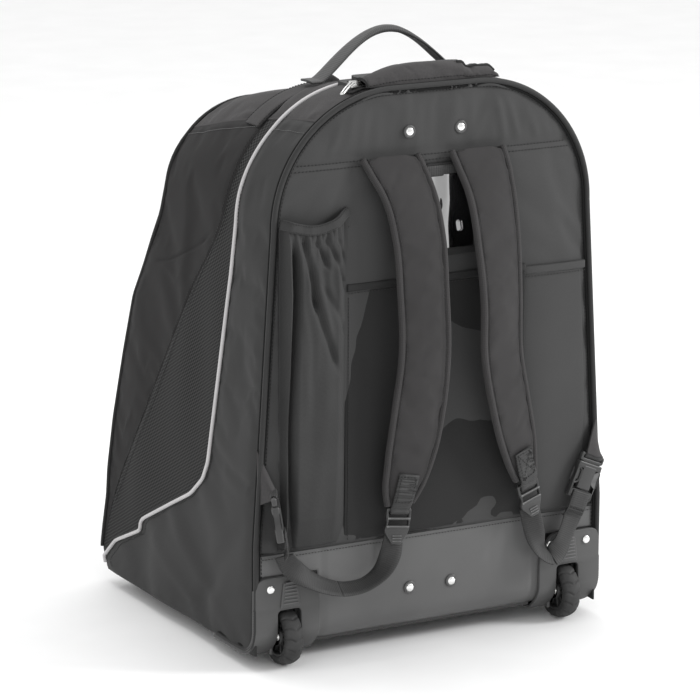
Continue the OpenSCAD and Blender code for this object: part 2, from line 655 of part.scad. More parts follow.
module strap_webbing_left() color("#2c2c2c") placed() ribbon(loop_left_route, webbing_w, webbing_t);
module strap_webbing_right() color("#2c2c2c") placed() ribbon(loop_right_route, webbing_w, webbing_t);

// Socket half of a side-release buckle, with the webbing's end folded round its lower bar
buckle_w = 33;
socket_len = 32;
socket_t = 9;
module socket() {
    difference() {
        translate([-buckle_w / 2, -socket_t / 2, -8 - socket_len]) cube([buckle_w, socket_t, socket_len]);
        translate([-13.5, -2.5, -6 - socket_len]) cube([27, 5, socket_len]);
        both_sides() translate([11, -3, -28]) cube([8, 6, 12]);
    }
    difference() {
        translate([-buckle_w / 2, -3, -20 - socket_len]) cube([buckle_w, 6, 12.5]);
        translate([-webbing_w / 2 - 1, -5, -17 - socket_len]) cube([webbing_w + 2, 10, 8]);
    }
    translate([-webbing_w / 2, -3 - webbing_t, -30 - socket_len]) cube([webbing_w, webbing_t, 22]);
}
// Plug half: an upper bar, a shoulder and three prongs that reach into the socket
module plug() {
    rotate([0, 90, 0]) cylinder(r = bar_r, h = buckle_w - 2, center = true);
    difference() {
        translate([-buckle_w / 2, -3, -7.5]) cube([buckle_w, 6, 9.5]);
        translate([-webbing_w / 2 - 1, -5, -4]) cube([webbing_w + 2, 10, 8]);
    }
    for (x = [-13, -2.5, 8.5]) translate([x, -2, -32]) cube([x == -2.5 ? 5 : 4.5, 4, 25]);
}
module buckle_left() color("#2a2a2a") hung(buckle_left_at) socket();
module buckle_right() color("#2a2a2a") hung(buckle_right_at) socket();

// Plugs and the short tabs that hold them to the bag's side seams
module tab() translate([-webbing_w / 2, -webbing_t / 2, 0.5]) cube([webbing_w, webbing_t, 22]);
module strap_tabs() color("#2a2a2a") {
    hung(buckle_left_at) {
        plug();
        tab();
    }
    hung(buckle_right_at) {
        plug();
        tab();
    }
}

back_panel();
kick_panel();
bottom_panel();
base_board();
side_gusset_left();
side_gusset_right();
mesh_panel_left();
mesh_panel_right();
front_side_left();
front_side_right();
top_panel();
top_band_left();
top_band_right();
front_border();
front_flap();
main_zip();
main_zip_sliders();
main_zip_pull_left();
main_zip_pull_right();
back_piping();
reflective_piping_left();
reflective_piping_right();
front_piping();
bottle_pocket();
slip_pocket();
id_frame();
id_window();
zip_deck();
storm_flap();
top_zip_slider();
top_zip_pull();
handle_tray();
handle_outer_tubes();
handle_inner_tubes();
handle_grip();
handle_button();
handle_brackets();
back_rivets();
carry_handle();
handle_anchors();
wheel_housing_left();
wheel_housing_right();
housing_rivets();
axles();
tyre_left();
tyre_right();
hub_left();
hub_right();
wheel_bearings_left();
wheel_bearings_right();
front_feet();
strap_pad_left();
strap_pad_right();
ladder_lock_left();
ladder_lock_right();
strap_webbing_left();
strap_webbing_right();
strap_tabs();
buckle_left();
buckle_right();
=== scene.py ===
"""Looks of a wheeled hockey equipment bag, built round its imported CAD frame.

Shapes are worked out in millimetres: x to the right as the strap side is seen, y forward from the
back panel's outer face, z up from the ground. place() turns them into the frame's metres.
"""
import json
import math

import bmesh
import bpy
import numpy as np
from mathutils import Matrix, Vector, noise


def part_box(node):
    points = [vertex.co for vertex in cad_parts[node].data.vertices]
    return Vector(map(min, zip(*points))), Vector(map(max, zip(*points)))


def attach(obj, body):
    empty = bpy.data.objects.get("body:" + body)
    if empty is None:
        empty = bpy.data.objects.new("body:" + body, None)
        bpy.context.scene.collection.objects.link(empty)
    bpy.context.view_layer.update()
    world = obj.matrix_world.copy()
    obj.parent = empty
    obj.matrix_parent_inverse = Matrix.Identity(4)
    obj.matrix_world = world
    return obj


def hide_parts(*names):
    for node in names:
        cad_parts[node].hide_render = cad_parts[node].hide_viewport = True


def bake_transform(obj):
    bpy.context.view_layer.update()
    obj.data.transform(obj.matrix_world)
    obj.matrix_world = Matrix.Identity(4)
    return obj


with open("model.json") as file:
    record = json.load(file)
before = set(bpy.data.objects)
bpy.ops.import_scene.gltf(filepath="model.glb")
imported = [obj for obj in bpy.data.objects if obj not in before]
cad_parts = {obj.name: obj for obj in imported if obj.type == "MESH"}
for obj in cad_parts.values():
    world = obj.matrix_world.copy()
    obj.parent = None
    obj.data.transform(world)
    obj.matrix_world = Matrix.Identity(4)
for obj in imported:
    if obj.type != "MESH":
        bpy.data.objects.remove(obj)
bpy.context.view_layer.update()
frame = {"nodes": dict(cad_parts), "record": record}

MM = 0.001
BACK_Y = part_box("back_panel")[0].y

# ------------------------------------------------------------------ the bag's shape, as in the CAD

BODY_HALF = 229.0
STRAIGHT_Z = 149.0
SHOULDER_R = 150.0
BODY_TOP = 660.0
SHOULDER_Z = BODY_TOP - SHOULDER_R
SHOULDER_HALF = 206.0
ARC_X = SHOULDER_HALF - SHOULDER_R
TOP_DROP = 32.0
TOP_D = 248.0
GROUND_GAP = 18.0
FACE_SHOULDER_Z = SHOULDER_Z - TOP_DROP
KICK_TOP = 137.0
BAND_Y = 71.0
FLAP_INSET = 32.0
FLAP_BOTTOM = 78.0

PIPE_LINE = [(18, 412), (61, 362), (92, 292), (101, 292), (108, 286), (171, 160), (195, 132), (218, 121),
             (318, 107), (444, 90), (541, 82), (590, 74), (608, 71.5)]
MESH_LINE = [(45, 400), (109, 371), (234, 294), (346, 226), (444, 164), (507, 120), (552, 101), (605, 94)]
FRONT_LINE = [(18, 386), (43, 400), (73, 393), (113, 382), (214, 370), (300, 352), (372, 334), (411, 312),
              (474, 293), (517, 274), (552, 260), (612, 248), (700, 248)]
FACE_LINE = [(18, 386), (43, 400), (73, 393), (113, 382), (214, 370), (300, 352), (372, 334), (411, 312),
             (450, 293), (485, 274), (520, 260), (552, 254), (580, 248), (700, 248)]


def place(points):
    """Millimetre points, measured from the back panel, in the frame's metres."""
    p = np.array(points, float) * MM
    p[..., 1] += BACK_Y
    return p


def along(line, z):
    """Straight lookup in a seam line."""
    zs, ys = zip(*line)
    return np.interp(z, zs, ys)


def eased(line, z, reach=12.0):
    """Lookup in a seam line with its corners rounded off over reach."""
    z = np.asarray(z, float)
    steps = np.linspace(-1, 1, 9)
    weights = 1 - np.abs(steps) * 0.9
    return sum(w * along(line, z + reach * s) for s, w in zip(steps, weights)) / weights.sum()


CORNER_R = 110.0
FRONT_SAG = 14.0


def reach(angle, y):
    """How far the outline stands from its shoulder's centre: round at the back, squarer towards the front."""
    c, s = np.cos(angle), np.sin(angle)
    off = SHOULDER_R - CORNER_R
    b = off * (c + s)
    curve = b + np.sqrt(np.clip(b * b - 2 * off * off + CORNER_R ** 2, 0, None))
    limit = math.atan2(off, SHOULDER_R)
    square = np.where((angle < limit) | (angle > math.pi / 2 - limit), SHOULDER_R / np.maximum(c, s), curve)
    share = smooth_step(y, 30, 235)
    return SHOULDER_R + (square - SHOULDER_R) * share, FRONT_SAG * share * s ** 2


def half_width(z):
    z = np.asarray(z, float)
    leaning = BODY_HALF + (SHOULDER_HALF - BODY_HALF) * np.clip((z - STRAIGHT_Z) / (SHOULDER_Z - STRAIGHT_Z), 0, 1)
    arc = ARC_X + np.sqrt(np.clip(SHOULDER_R ** 2 - np.clip(z - SHOULDER_Z, 0, None) ** 2, 0, None))
    return np.where(z <= SHOULDER_Z, leaning, arc)


def fall(y, z):
    share = np.clip((np.asarray(z, float) - 400) / 100, 0, 1)
    share = share * share * (3 - 2 * share)
    return TOP_DROP * np.clip(np.asarray(y, float) / TOP_D, 0, 1) ** 2 * share


def face_half(z, inset=0.0):
    z = np.asarray(z, float)
    leaning = BODY_HALF + (SHOULDER_HALF - BODY_HALF) * np.clip(
        (z - STRAIGHT_Z) / (FACE_SHOULDER_Z - STRAIGHT_Z), 0, 1) - inset
    arc = ARC_X + np.sqrt(np.clip((SHOULDER_R - inset) ** 2 - np.clip(z - FACE_SHOULDER_Z, 0, None) ** 2, 0, None))
    return np.where(z <= FACE_SHOULDER_Z, leaning, arc)


# ------------------------------------------------------------------ camera, light and floor

VIEW_AZIMUTH = -29.2
VIEW_ELEVATION = 13.76
VIEW_ROLL = -0.28
VIEW_DISTANCE = 4252.0
VIEW_AIM = (-93.1, 0.8)
VIEW_HEIGHT = 350.0
LENS = 190.7


def make_camera():
    az, el, roll = (math.radians(a) for a in (VIEW_AZIMUTH, VIEW_ELEVATION, VIEW_ROLL))
    back = Vector((math.sin(az) * math.cos(el), -math.cos(az) * math.cos(el), math.sin(el)))
    right = Vector((math.cos(az), math.sin(az), 0))
    up = back.cross(right)
    spot = Vector((0, 0, VIEW_HEIGHT)) + back * VIEW_DISTANCE + right * VIEW_AIM[0] + up * VIEW_AIM[1]
    spot = Vector(place([spot])[0])
    turned_right = right * math.cos(roll) - up * math.sin(roll)
    turned_up = right * math.sin(roll) + up * math.cos(roll)
    data = bpy.data.cameras.new("camera")
    data.lens = LENS
    data.sensor_width = 36
    data.clip_start, data.clip_end = 0.1, 30
    camera = bpy.data.objects.new("camera", data)
    bpy.context.scene.collection.objects.link(camera)
    camera.matrix_world = Matrix((turned_right, turned_up, back)).transposed().to_4x4()
    camera.location = spot
    bpy.context.scene.camera = camera


def area_light(name, spot, aim, size, power):
    data = bpy.data.lights.new(name, "AREA")
    data.shape = "RECTANGLE"
    data.size, data.size_y = size
    data.energy = power
    light = bpy.data.objects.new(name, data)
    bpy.context.scene.collection.objects.link(light)
    light.location = spot
    light.rotation_mode = "QUATERNION"
    light.rotation_quaternion = (Vector(aim) - Vector(spot)).to_track_quat("-Z", "Y")


def make_studio():
    world = bpy.data.worlds.new("studio")
    bpy.context.scene.world = world
    world.use_nodes = True
    world.node_tree.nodes["Background"].inputs["Color"].default_value = (1, 1, 1, 1)
    world.node_tree.nodes["Background"].inputs["Strength"].default_value = 0.95
    area_light("key", (2.9, -1.9, 1.9), (0, 0, 0.35), (1.0, 1.3), 85)
    area_light("fill", (-3.0, -2.2, 1.4), (0, 0, 0.3), (1.2, 1.6), 7)
    area_light("top", (-0.2, 0.6, 3.0), (0, 0, 0.4), (1.8, 1.8), 30)
    bpy.ops.mesh.primitive_plane_add(size=40, location=(0, 0, -0.0005))
    floor = bpy.context.object
    floor.name = "floor"
    floor.data.materials.append(MATERIALS["floor"])
    bpy.context.scene.view_settings.view_transform = "Standard"


# ------------------------------------------------------------------ materials

def new_material(name):
    m = bpy.data.materials.new(name)
    m.use_nodes = True
    nodes = m.node_tree.nodes
    return m, nodes, m.node_tree.links, nodes["Principled BSDF"]


def ramp(nodes, links, source, low, high, low_at=0.3, high_at=0.7):
    """A two-colour ramp driven by a node's output."""
    r = nodes.new("ShaderNodeValToRGB")
    r.color_ramp.elements[0].position, r.color_ramp.elements[1].position = low_at, high_at
    r.color_ramp.elements[0].color = (*low, 1)
    r.color_ramp.elements[1].color = (*high, 1)
    links.new(source, r.inputs["Fac"])
    return r


def fabric(name, dark, light, pitch, weave=0.25, rough=0.85, sheen=0.04, slub=0.5, angle=0.0, mottle=14.0):
    """Woven cloth: two crossed sets of threads, uneven yarn colour and a soft sheen."""
    m, nodes, links, shader = new_material(name)
    coords = nodes.new("ShaderNodeTexCoord")
    turn = nodes.new("ShaderNodeMapping")
    turn.inputs["Rotation"].default_value = (0, 0, math.radians(angle))
    links.new(coords.outputs["UV"], turn.inputs["Vector"])
    threads = []
    for direction in ("X", "Y"):
        wave = nodes.new("ShaderNodeTexWave")
        wave.bands_direction = direction
        wave.inputs["Scale"].default_value = 1 / (pitch * 3.2)
        wave.inputs["Distortion"].default_value = 0.6
        wave.inputs["Detail"].default_value = 1.0
        links.new(turn.outputs["Vector"], wave.inputs["Vector"])
        threads.append(wave)
    cross = nodes.new("ShaderNodeMath")
    cross.operation = "MULTIPLY"
    links.new(threads[0].outputs["Fac"], cross.inputs[0])
    links.new(threads[1].outputs["Fac"], cross.inputs[1])
    yarn = nodes.new("ShaderNodeTexNoise")
    yarn.inputs["Scale"].default_value = 1 / (pitch * 2.2)
    yarn.inputs["Detail"].default_value = 3
    links.new(turn.outputs["Vector"], yarn.inputs["Vector"])
    broad = nodes.new("ShaderNodeTexNoise")
    broad.inputs["Scale"].default_value = mottle
    broad.inputs["Detail"].default_value = 4
    links.new(coords.outputs["Object"], broad.inputs["Vector"])
    mixed = nodes.new("ShaderNodeMix")
    mixed.data_type = "FLOAT"
    mixed.inputs["Factor"].default_value = slub
    links.new(cross.outputs[0], mixed.inputs["A"])
    links.new(yarn.outputs["Fac"], mixed.inputs["B"])
    both = nodes.new("ShaderNodeMix")
    both.data_type = "FLOAT"
    both.inputs["Factor"].default_value = 0.35
    links.new(mixed.outputs["Result"], both.inputs["A"])
    links.new(broad.outputs["Fac"], both.inputs["B"])
    tint = ramp(nodes, links, both.outputs["Result"], dark, light, 0.15, 0.75)
    links.new(tint.outputs["Color"], shader.inputs["Base Color"])
    shader.inputs["Roughness"].default_value = rough
    shader.inputs["Sheen Weight"].default_value = sheen
    shader.inputs["Sheen Roughness"].default_value = 0.5
    shader.inputs["Specular IOR Level"].default_value = 0.25
    bump = nodes.new("ShaderNodeBump")
    bump.inputs["Strength"].default_value = weave
    bump.inputs["Distance"].default_value = pitch * 0.4
    links.new(mixed.outputs["Result"], bump.inputs["Height"])
    links.new(bump.outputs["Normal"], shader.inputs["Normal"])
    return m


def mesh_cloth(name, dark, light, pitch):
    """Warp-knit mesh: rows of round openings, staggered, over a black backing."""
    m, nodes, links, shader = new_material(name)
    coords = nodes.new("ShaderNodeTexCoord")
    turn = nodes.new("ShaderNodeMapping")
    turn.inputs["Rotation"].default_value = (0, 0, math.radians(33))
    turn.inputs["Scale"].default_value = (1, 1.25, 1)
    links.new(coords.outputs["UV"], turn.inputs["Vector"])
    cells = nodes.new("ShaderNodeTexVoronoi")
    cells.feature = "F1"
    cells.inputs["Scale"].default_value = 1 / pitch
    cells.inputs["Randomness"].default_value = 0.0
    links.new(turn.outputs["Vector"], cells.inputs["Vector"])
    tint = ramp(nodes, links, cells.outputs["Distance"], dark, light, 0.34, 0.5)
    links.new(tint.outputs["Color"], shader.inputs["Base Color"])
    shader.inputs["Roughness"].default_value = 0.8
    shader.inputs["Specular IOR Level"].default_value = 0.25
    bump = nodes.new("ShaderNodeBump")
    bump.inputs["Strength"].default_value = 0.7
    bump.inputs["Distance"].default_value = 0.0006
    links.new(tint.outputs["Color"], bump.inputs["Height"])
    links.new(bump.outputs["Normal"], shader.inputs["Normal"])
    return m


def webbing_cloth(name, dark, light, rib=0.0024, sheen=0.06, rough=0.6):
    """Ribbed webbing: UV x runs across the band and y along it."""
    m, nodes, links, shader = new_material(name)
    coords = nodes.new("ShaderNodeTexCoord")
    ribs = nodes.new("ShaderNodeTexWave")
    ribs.bands_direction = "Y"
    ribs.inputs["Scale"].default_value = 1 / (rib * 3.2)
    ribs.inputs["Distortion"].default_value = 0.8
    ribs.inputs["Detail"].default_value = 1.5
    ribs.inputs["Detail Scale"].default_value = 2.0
    lines = nodes.new("ShaderNodeTexWave")
    lines.bands_direction = "X"
    lines.inputs["Scale"].default_value = 1 / (rib * 2.0)
    lines.inputs["Distortion"].default_value = 0.4
    for wave in (ribs, lines):
        links.new(coords.outputs["UV"], wave.inputs["Vector"])
    fuzz = nodes.new("ShaderNodeTexNoise")
    fuzz.inputs["Scale"].default_value = 900
    links.new(coords.outputs["Object"], fuzz.inputs["Vector"])
    weave = nodes.new("ShaderNodeMix")
    weave.data_type = "FLOAT"
    weave.inputs["Factor"].default_value = 0.35
    links.new(ribs.outputs["Fac"], weave.inputs["A"])
    links.new(lines.outputs["Fac"], weave.inputs["B"])
    rough_weave = nodes.new("ShaderNodeMix")
    rough_weave.data_type = "FLOAT"
    rough_weave.inputs["Factor"].default_value = 0.3
    links.new(weave.outputs["Result"], rough_weave.inputs["A"])
    links.new(fuzz.outputs["Fac"], rough_weave.inputs["B"])
    tint = ramp(nodes, links, rough_weave.outputs["Result"], dark, light, 0.2, 0.8)
    links.new(tint.outputs["Color"], shader.inputs["Base Color"])
    shader.inputs["Roughness"].default_value = rough
    shader.inputs["Sheen Weight"].default_value = sheen
    bump = nodes.new("ShaderNodeBump")
    bump.inputs["Strength"].default_value = 0.45
    bump.inputs["Distance"].default_value = 0.0008
    links.new(rough_weave.outputs["Result"], bump.inputs["Height"])
    links.new(bump.outputs["Normal"], shader.inputs["Normal"])
    return m


def plastic(name, dark, light, rough=0.45, grain=0.12, grain_size=0.0012, worn=0.0, coat=0.0):
    """Moulded plastic: fine grain, slight unevenness of gloss, and paler rubbed edges."""
    m, nodes, links, shader = new_material(name)
    coords = nodes.new("ShaderNodeTexCoord")
    fine = nodes.new("ShaderNodeTexNoise")
    fine.inputs["Scale"].default_value = 1 / grain_size
    fine.inputs["Detail"].default_value = 2
    broad = nodes.new("ShaderNodeTexNoise")
    broad.inputs["Scale"].default_value = 9
    broad.inputs["Detail"].default_value = 5
    for tex in (fine, broad):
        links.new(coords.outputs["Object"], tex.inputs["Vector"])
    tint = ramp(nodes, links, broad.outputs["Fac"], dark, light, 0.3, 0.7)
    colour = tint.outputs["Color"]
    if worn:
        geometry = nodes.new("ShaderNodeNewGeometry")
        edge = ramp(nodes, links, geometry.outputs["Pointiness"], (0, 0, 0), (1, 1, 1), 0.52, 0.6)
        blend = nodes.new("ShaderNodeMix")
        blend.data_type = "RGBA"
        links.new(edge.outputs["Color"], blend.inputs["Factor"])
        links.new(colour, blend.inputs["A"])
        blend.inputs["B"].default_value = (*(min(1, c + worn) for c in light), 1)
        colour = blend.outputs["Result"]
    links.new(colour, shader.inputs["Base Color"])
    gloss = nodes.new("ShaderNodeMapRange")
    gloss.inputs["To Min"].default_value = rough - 0.07
    gloss.inputs["To Max"].default_value = rough + 0.07
    links.new(broad.outputs["Fac"], gloss.inputs["Value"])
    links.new(gloss.outputs["Result"], shader.inputs["Roughness"])
    shader.inputs["Coat Weight"].default_value = coat
    bump = nodes.new("ShaderNodeBump")
    bump.inputs["Strength"].default_value = grain
    bump.inputs["Distance"].default_value = grain_size * 0.25
    links.new(fine.outputs["Fac"], bump.inputs["Height"])
    links.new(bump.outputs["Normal"], shader.inputs["Normal"])
    return m


def metal(name, colour, rough=0.25, streak=0.0, metallic=1.0):
    m, nodes, links, shader = new_material(name)
    coords = nodes.new("ShaderNodeTexCoord")
    stretch = nodes.new("ShaderNodeMapping")
    stretch.inputs["Scale"].default_value = (1, 1, 1 - streak * 0.97)
    links.new(coords.outputs["Object"], stretch.inputs["Vector"])
    scuff = nodes.new("ShaderNodeTexNoise")
    scuff.inputs["Scale"].default_value = 260
    scuff.inputs["Detail"].default_value = 3
    links.new(stretch.outputs["Vector"], scuff.inputs["Vector"])
    tint = ramp(nodes, links, scuff.outputs["Fac"], tuple(c * 0.86 for c in colour), colour)
    links.new(tint.outputs["Color"], shader.inputs["Base Color"])
    gloss = nodes.new("ShaderNodeMapRange")
    gloss.inputs["To Min"].default_value = rough * 0.75
    gloss.inputs["To Max"].default_value = rough * 1.25
    links.new(scuff.outputs["Fac"], gloss.inputs["Value"])
    links.new(gloss.outputs["Result"], shader.inputs["Roughness"])
    shader.inputs["Metallic"].default_value = metallic
    return m


def rubber(name, dark, light):
    m, nodes, links, shader = new_material(name)
    coords = nodes.new("ShaderNodeTexCoord")
    dust = nodes.new("ShaderNodeTexNoise")
    dust.inputs["Scale"].default_value = 60
    dust.inputs["Detail"].default_value = 6
    links.new(coords.outputs["Object"], dust.inputs["Vector"])
    tint = ramp(nodes, links, dust.outputs["Fac"], dark, light, 0.35, 0.75)
    links.new(tint.outputs["Color"], shader.inputs["Base Color"])
    shader.inputs["Roughness"].default_value = 0.72
    bump = nodes.new("ShaderNodeBump")
    bump.inputs["Strength"].default_value = 0.2
    bump.inputs["Distance"].default_value = 0.0003
    links.new(dust.outputs["Fac"], bump.inputs["Height"])
    links.new(bump.outputs["Normal"], shader.inputs["Normal"])
    return m


def vinyl(name):
    """Clear glossy film over a dark backing, with a faint ripple."""
    m, nodes, links, shader = new_material(name)
    coords = nodes.new("ShaderNodeTexCoord")
    ripple_tex = nodes.new("ShaderNodeTexNoise")
    ripple_tex.inputs["Scale"].default_value = 16
    ripple_tex.inputs["Detail"].default_value = 0
    links.new(coords.outputs["Object"], ripple_tex.inputs["Vector"])
    tint = ramp(nodes, links, ripple_tex.outputs["Fac"], (0.004, 0.004, 0.004), (0.010, 0.010, 0.011))
    links.new(tint.outputs["Color"], shader.inputs["Base Color"])
    shader.inputs["Roughness"].default_value = 0.05
    shader.inputs["IOR"].default_value = 2.2
    shader.inputs["Coat Weight"].default_value = 1.0
    shader.inputs["Coat IOR"].default_value = 2.2
    shader.inputs["Coat Roughness"].default_value = 0.02
    bump = nodes.new("ShaderNodeBump")
    bump.inputs["Strength"].default_value = 0.25
    bump.inputs["Distance"].default_value = 0.002
    links.new(ripple_tex.outputs["Fac"], bump.inputs["Height"])
    links.new(bump.outputs["Normal"], shader.inputs["Normal"])
    return m


def grey(v, warm=0.0):
    """A grey with a trace of red in it."""
    return (v * (1 + warm), v * (1 - warm), v * (1 - warm * 0.4))


MATERIALS = {
    "gusset_fabric": fabric("gusset_fabric", grey(0.021), grey(0.031), 0.0009, weave=0.12, rough=0.7, slub=0.3),
    "mesh_fabric": mesh_cloth("mesh_fabric", grey(0.005), grey(0.042), 0.0042),
    "front_fabric": fabric("front_fabric", grey(0.013, 0.02), grey(0.021, 0.02), 0.0009, weave=0.2, rough=0.9),
    "canvas": fabric("canvas", grey(0.033, 0.02), grey(0.066, 0.02), 0.0013, weave=0.4, rough=0.88, slub=0.6),
    "back_fabric": fabric("back_fabric", grey(0.038), grey(0.055), 0.0010, weave=0.15, rough=0.75, slub=0.4),
    "pocket_fabric": fabric("pocket_fabric", grey(0.024), grey(0.050), 0.0014, weave=0.3, rough=0.8, slub=0.3),
    "kick_plastic": plastic("kick_plastic", grey(0.072), grey(0.090), rough=0.42, grain=0.06, grain_size=0.0008),
    "board_plastic": plastic("board_plastic", grey(0.02), grey(0.03), rough=0.55),
    "housing_plastic": plastic("housing_plastic", grey(0.050), grey(0.066), rough=0.6, grain=0.3, worn=0.04),
    "hardware_plastic": plastic("hardware_plastic", grey(0.016), grey(0.024), rough=0.38, grain=0.1, worn=0.07),
    "button_plastic": plastic("button_plastic", grey(0.15), grey(0.2), rough=0.3),
    "piping": fabric("piping", grey(0.020), grey(0.034), 0.0008, weave=0.25, rough=0.65),
    "reflective": fabric("reflective", grey(0.42, 0.01), grey(0.62, 0.01), 0.0008, weave=0.2, rough=0.45, sheen=0.1),
    "webbing": webbing_cloth("webbing", grey(0.009), grey(0.024)),
    "zip_tape": fabric("zip_tape", grey(0.012), grey(0.025), 0.0008, weave=0.3, rough=0.85),
    "zip_metal": metal("zip_metal", (0.72, 0.72, 0.71), rough=0.2),
    "tube_metal": metal("tube_metal", (0.62, 0.63, 0.64), rough=0.3, streak=1.0),
    "rivet_metal": metal("rivet_metal", (0.9, 0.9, 0.89), rough=0.16),
    "tread": rubber("tread", grey(0.016), grey(0.036)),
    "vinyl": vinyl("vinyl"),
    "canvas_strap": fabric("canvas_strap", grey(0.028, 0.02), grey(0.058, 0.02), 0.0020, weave=0.5, rough=0.88, slub=0.35),
    "binding": fabric("binding", grey(0.014), grey(0.026), 0.0009, weave=0.25, rough=0.7),
    # painted shade: a darker fabric for the middle panel, standing for the shadow between the straps
    "painted_shade_fabric": fabric("painted_shade_fabric", grey(0.014), grey(0.024), 0.0010, weave=0.2, rough=0.85, slub=0.4),
    # painted shadow: near-black cord laid in the grooves beside the edge cords
    "shadow_tape": fabric("shadow_tape", grey(0.004), grey(0.010), 0.0008, weave=0.2, rough=0.9, sheen=0.0),
    "thread": fabric("thread", grey(0.10), grey(0.16), 0.0006, weave=0.3, rough=0.7),
    "dark_thread": fabric("dark_thread", grey(0.012), grey(0.03), 0.0006, weave=0.3, rough=0.6),
    "webbing_soft": webbing_cloth("webbing_soft", grey(0.012), grey(0.030), rib=0.003),
    "webbing_light": webbing_cloth("webbing_light", grey(0.026), grey(0.062)),
    "hub_plastic": plastic("hub_plastic", grey(0.018), grey(0.028), rough=0.4, grain=0.08),
    "zip_teeth": plastic("zip_teeth", grey(0.03), grey(0.05), rough=0.35, grain=0.02),
    "floor": plastic("floor", grey(0.92), grey(0.95), rough=0.7, grain=0.02),
}

SLOT_OF = {s["node"]: s["material_slot"] for s in frame["record"]["subparts"]}


# ------------------------------------------------------------------ curves, sheets and sweeps


def resample(points, count):
    """Smooth curve through points, in count even steps; extra columns are carried along."""
    p = np.array(points, float)
    d = np.r_[0, np.cumsum(np.linalg.norm(np.diff(p[:, :3], axis=0), axis=1))]
    slopes = np.gradient(p, d, axis=0)
    t = np.linspace(0, d[-1], count)
    i = np.clip(np.searchsorted(d, t, side="right") - 1, 0, len(d) - 2)
    h = (d[i + 1] - d[i])[:, None]
    s = (t - d[i])[:, None] / h
    return ((2 * s ** 3 - 3 * s ** 2 + 1) * p[i] + (s ** 3 - 2 * s ** 2 + s) * h * slopes[i]
            + (-2 * s ** 3 + 3 * s ** 2) * p[i + 1] + (s ** 3 - s ** 2) * h * slopes[i + 1])


def even(path, count):
    """The same broken line in count even steps, corners kept."""
    p = np.array(path, float)
    d = np.r_[0, np.cumsum(np.linalg.norm(np.diff(p, axis=0), axis=1))]
    t = np.linspace(0, d[-1], count)
    return np.stack([np.interp(t, d, p[:, k]) for k in range(p.shape[1])], axis=1)


def unit(v):
    return v / np.maximum(np.linalg.norm(v, axis=-1, keepdims=True), 1e-9)


def ripple(points, size, seed, waves=26):
    """Smooth random relief, about -1 to 1, whose bumps are size across; size may differ by axis."""
    rng = np.random.default_rng(seed)
    p = np.asarray(points, float) / np.asarray(size, float)
    total = np.zeros(p.shape[:-1])
    for _ in range(waves):
        k = rng.normal(size=p.shape[-1])
        k *= rng.uniform(1.5, 4.2) / np.linalg.norm(k)
        total += np.cos(p @ k + rng.uniform(0, 2 * math.pi))
    return total / math.sqrt(waves / 2) / 1.6


def crease(a, b, start, end, width, height, taper=0.35):
    """Raised (or, with a negative height, sunk) fold between two spots of the (a, b) plane."""
    s, e = np.array(start, float), np.array(end, float)
    length = np.linalg.norm(e - s)
    d = (e - s) / length
    along_it = (a - s[0]) * d[0] + (b - s[1]) * d[1]
    off = -(a - s[0]) * d[1] + (b - s[1]) * d[0]
    reach = taper * length
    fade = np.clip((along_it + reach) / reach, 0, 1) * np.clip((length + reach - along_it) / reach, 0, 1)
    return height * fade * np.exp(-(off / width) ** 2)


def smooth_step(v, low, high):
    s = np.clip((np.asarray(v, float) - low) / (high - low), 0, 1)
    return s * s * (3 - 2 * s)


class Sheet:
    """A surface as rows and columns of points; side says which way is out."""

    def __init__(self, points, side=1):
        self.p = np.array(points, float)
        self.side = side

    def normals(self):
        n = np.cross(np.gradient(self.p, axis=1), np.gradient(self.p, axis=0)) * self.side
        return unit(n)

    def lift(self, height):
        self.p = self.p + self.normals() * np.asarray(height)[..., None]
        return self

    def at(self, rows, cols, lift=0.0):
        """Points and normals at fractions of the rows and columns, lifted off the surface."""
        out = []
        shape = self.p.shape
        r = np.clip(np.asarray(rows, float), 0, 1) * (shape[0] - 1)
        c = np.clip(np.asarray(cols, float), 0, 1) * (shape[1] - 1)
        r, c = np.broadcast_arrays(r, c)
        i, j = np.minimum(r.astype(int), shape[0] - 2), np.minimum(c.astype(int), shape[1] - 2)
        fr, fc = (r - i)[..., None], (c - j)[..., None]
        for field in (self.p, self.normals()):
            out.append((field[i, j] * (1 - fr) + field[i + 1, j] * fr) * (1 - fc)
                       + (field[i, j + 1] * (1 - fr) + field[i + 1, j + 1] * fr) * fc)
        n = unit(out[1])
        return out[0] + n * lift, n


def link_mesh(name, mesh, material):
    obj = bpy.data.objects.new(name, mesh)
    bpy.context.scene.collection.objects.link(obj)
    if material:
        mesh.materials.append(MATERIALS[material])
    return obj


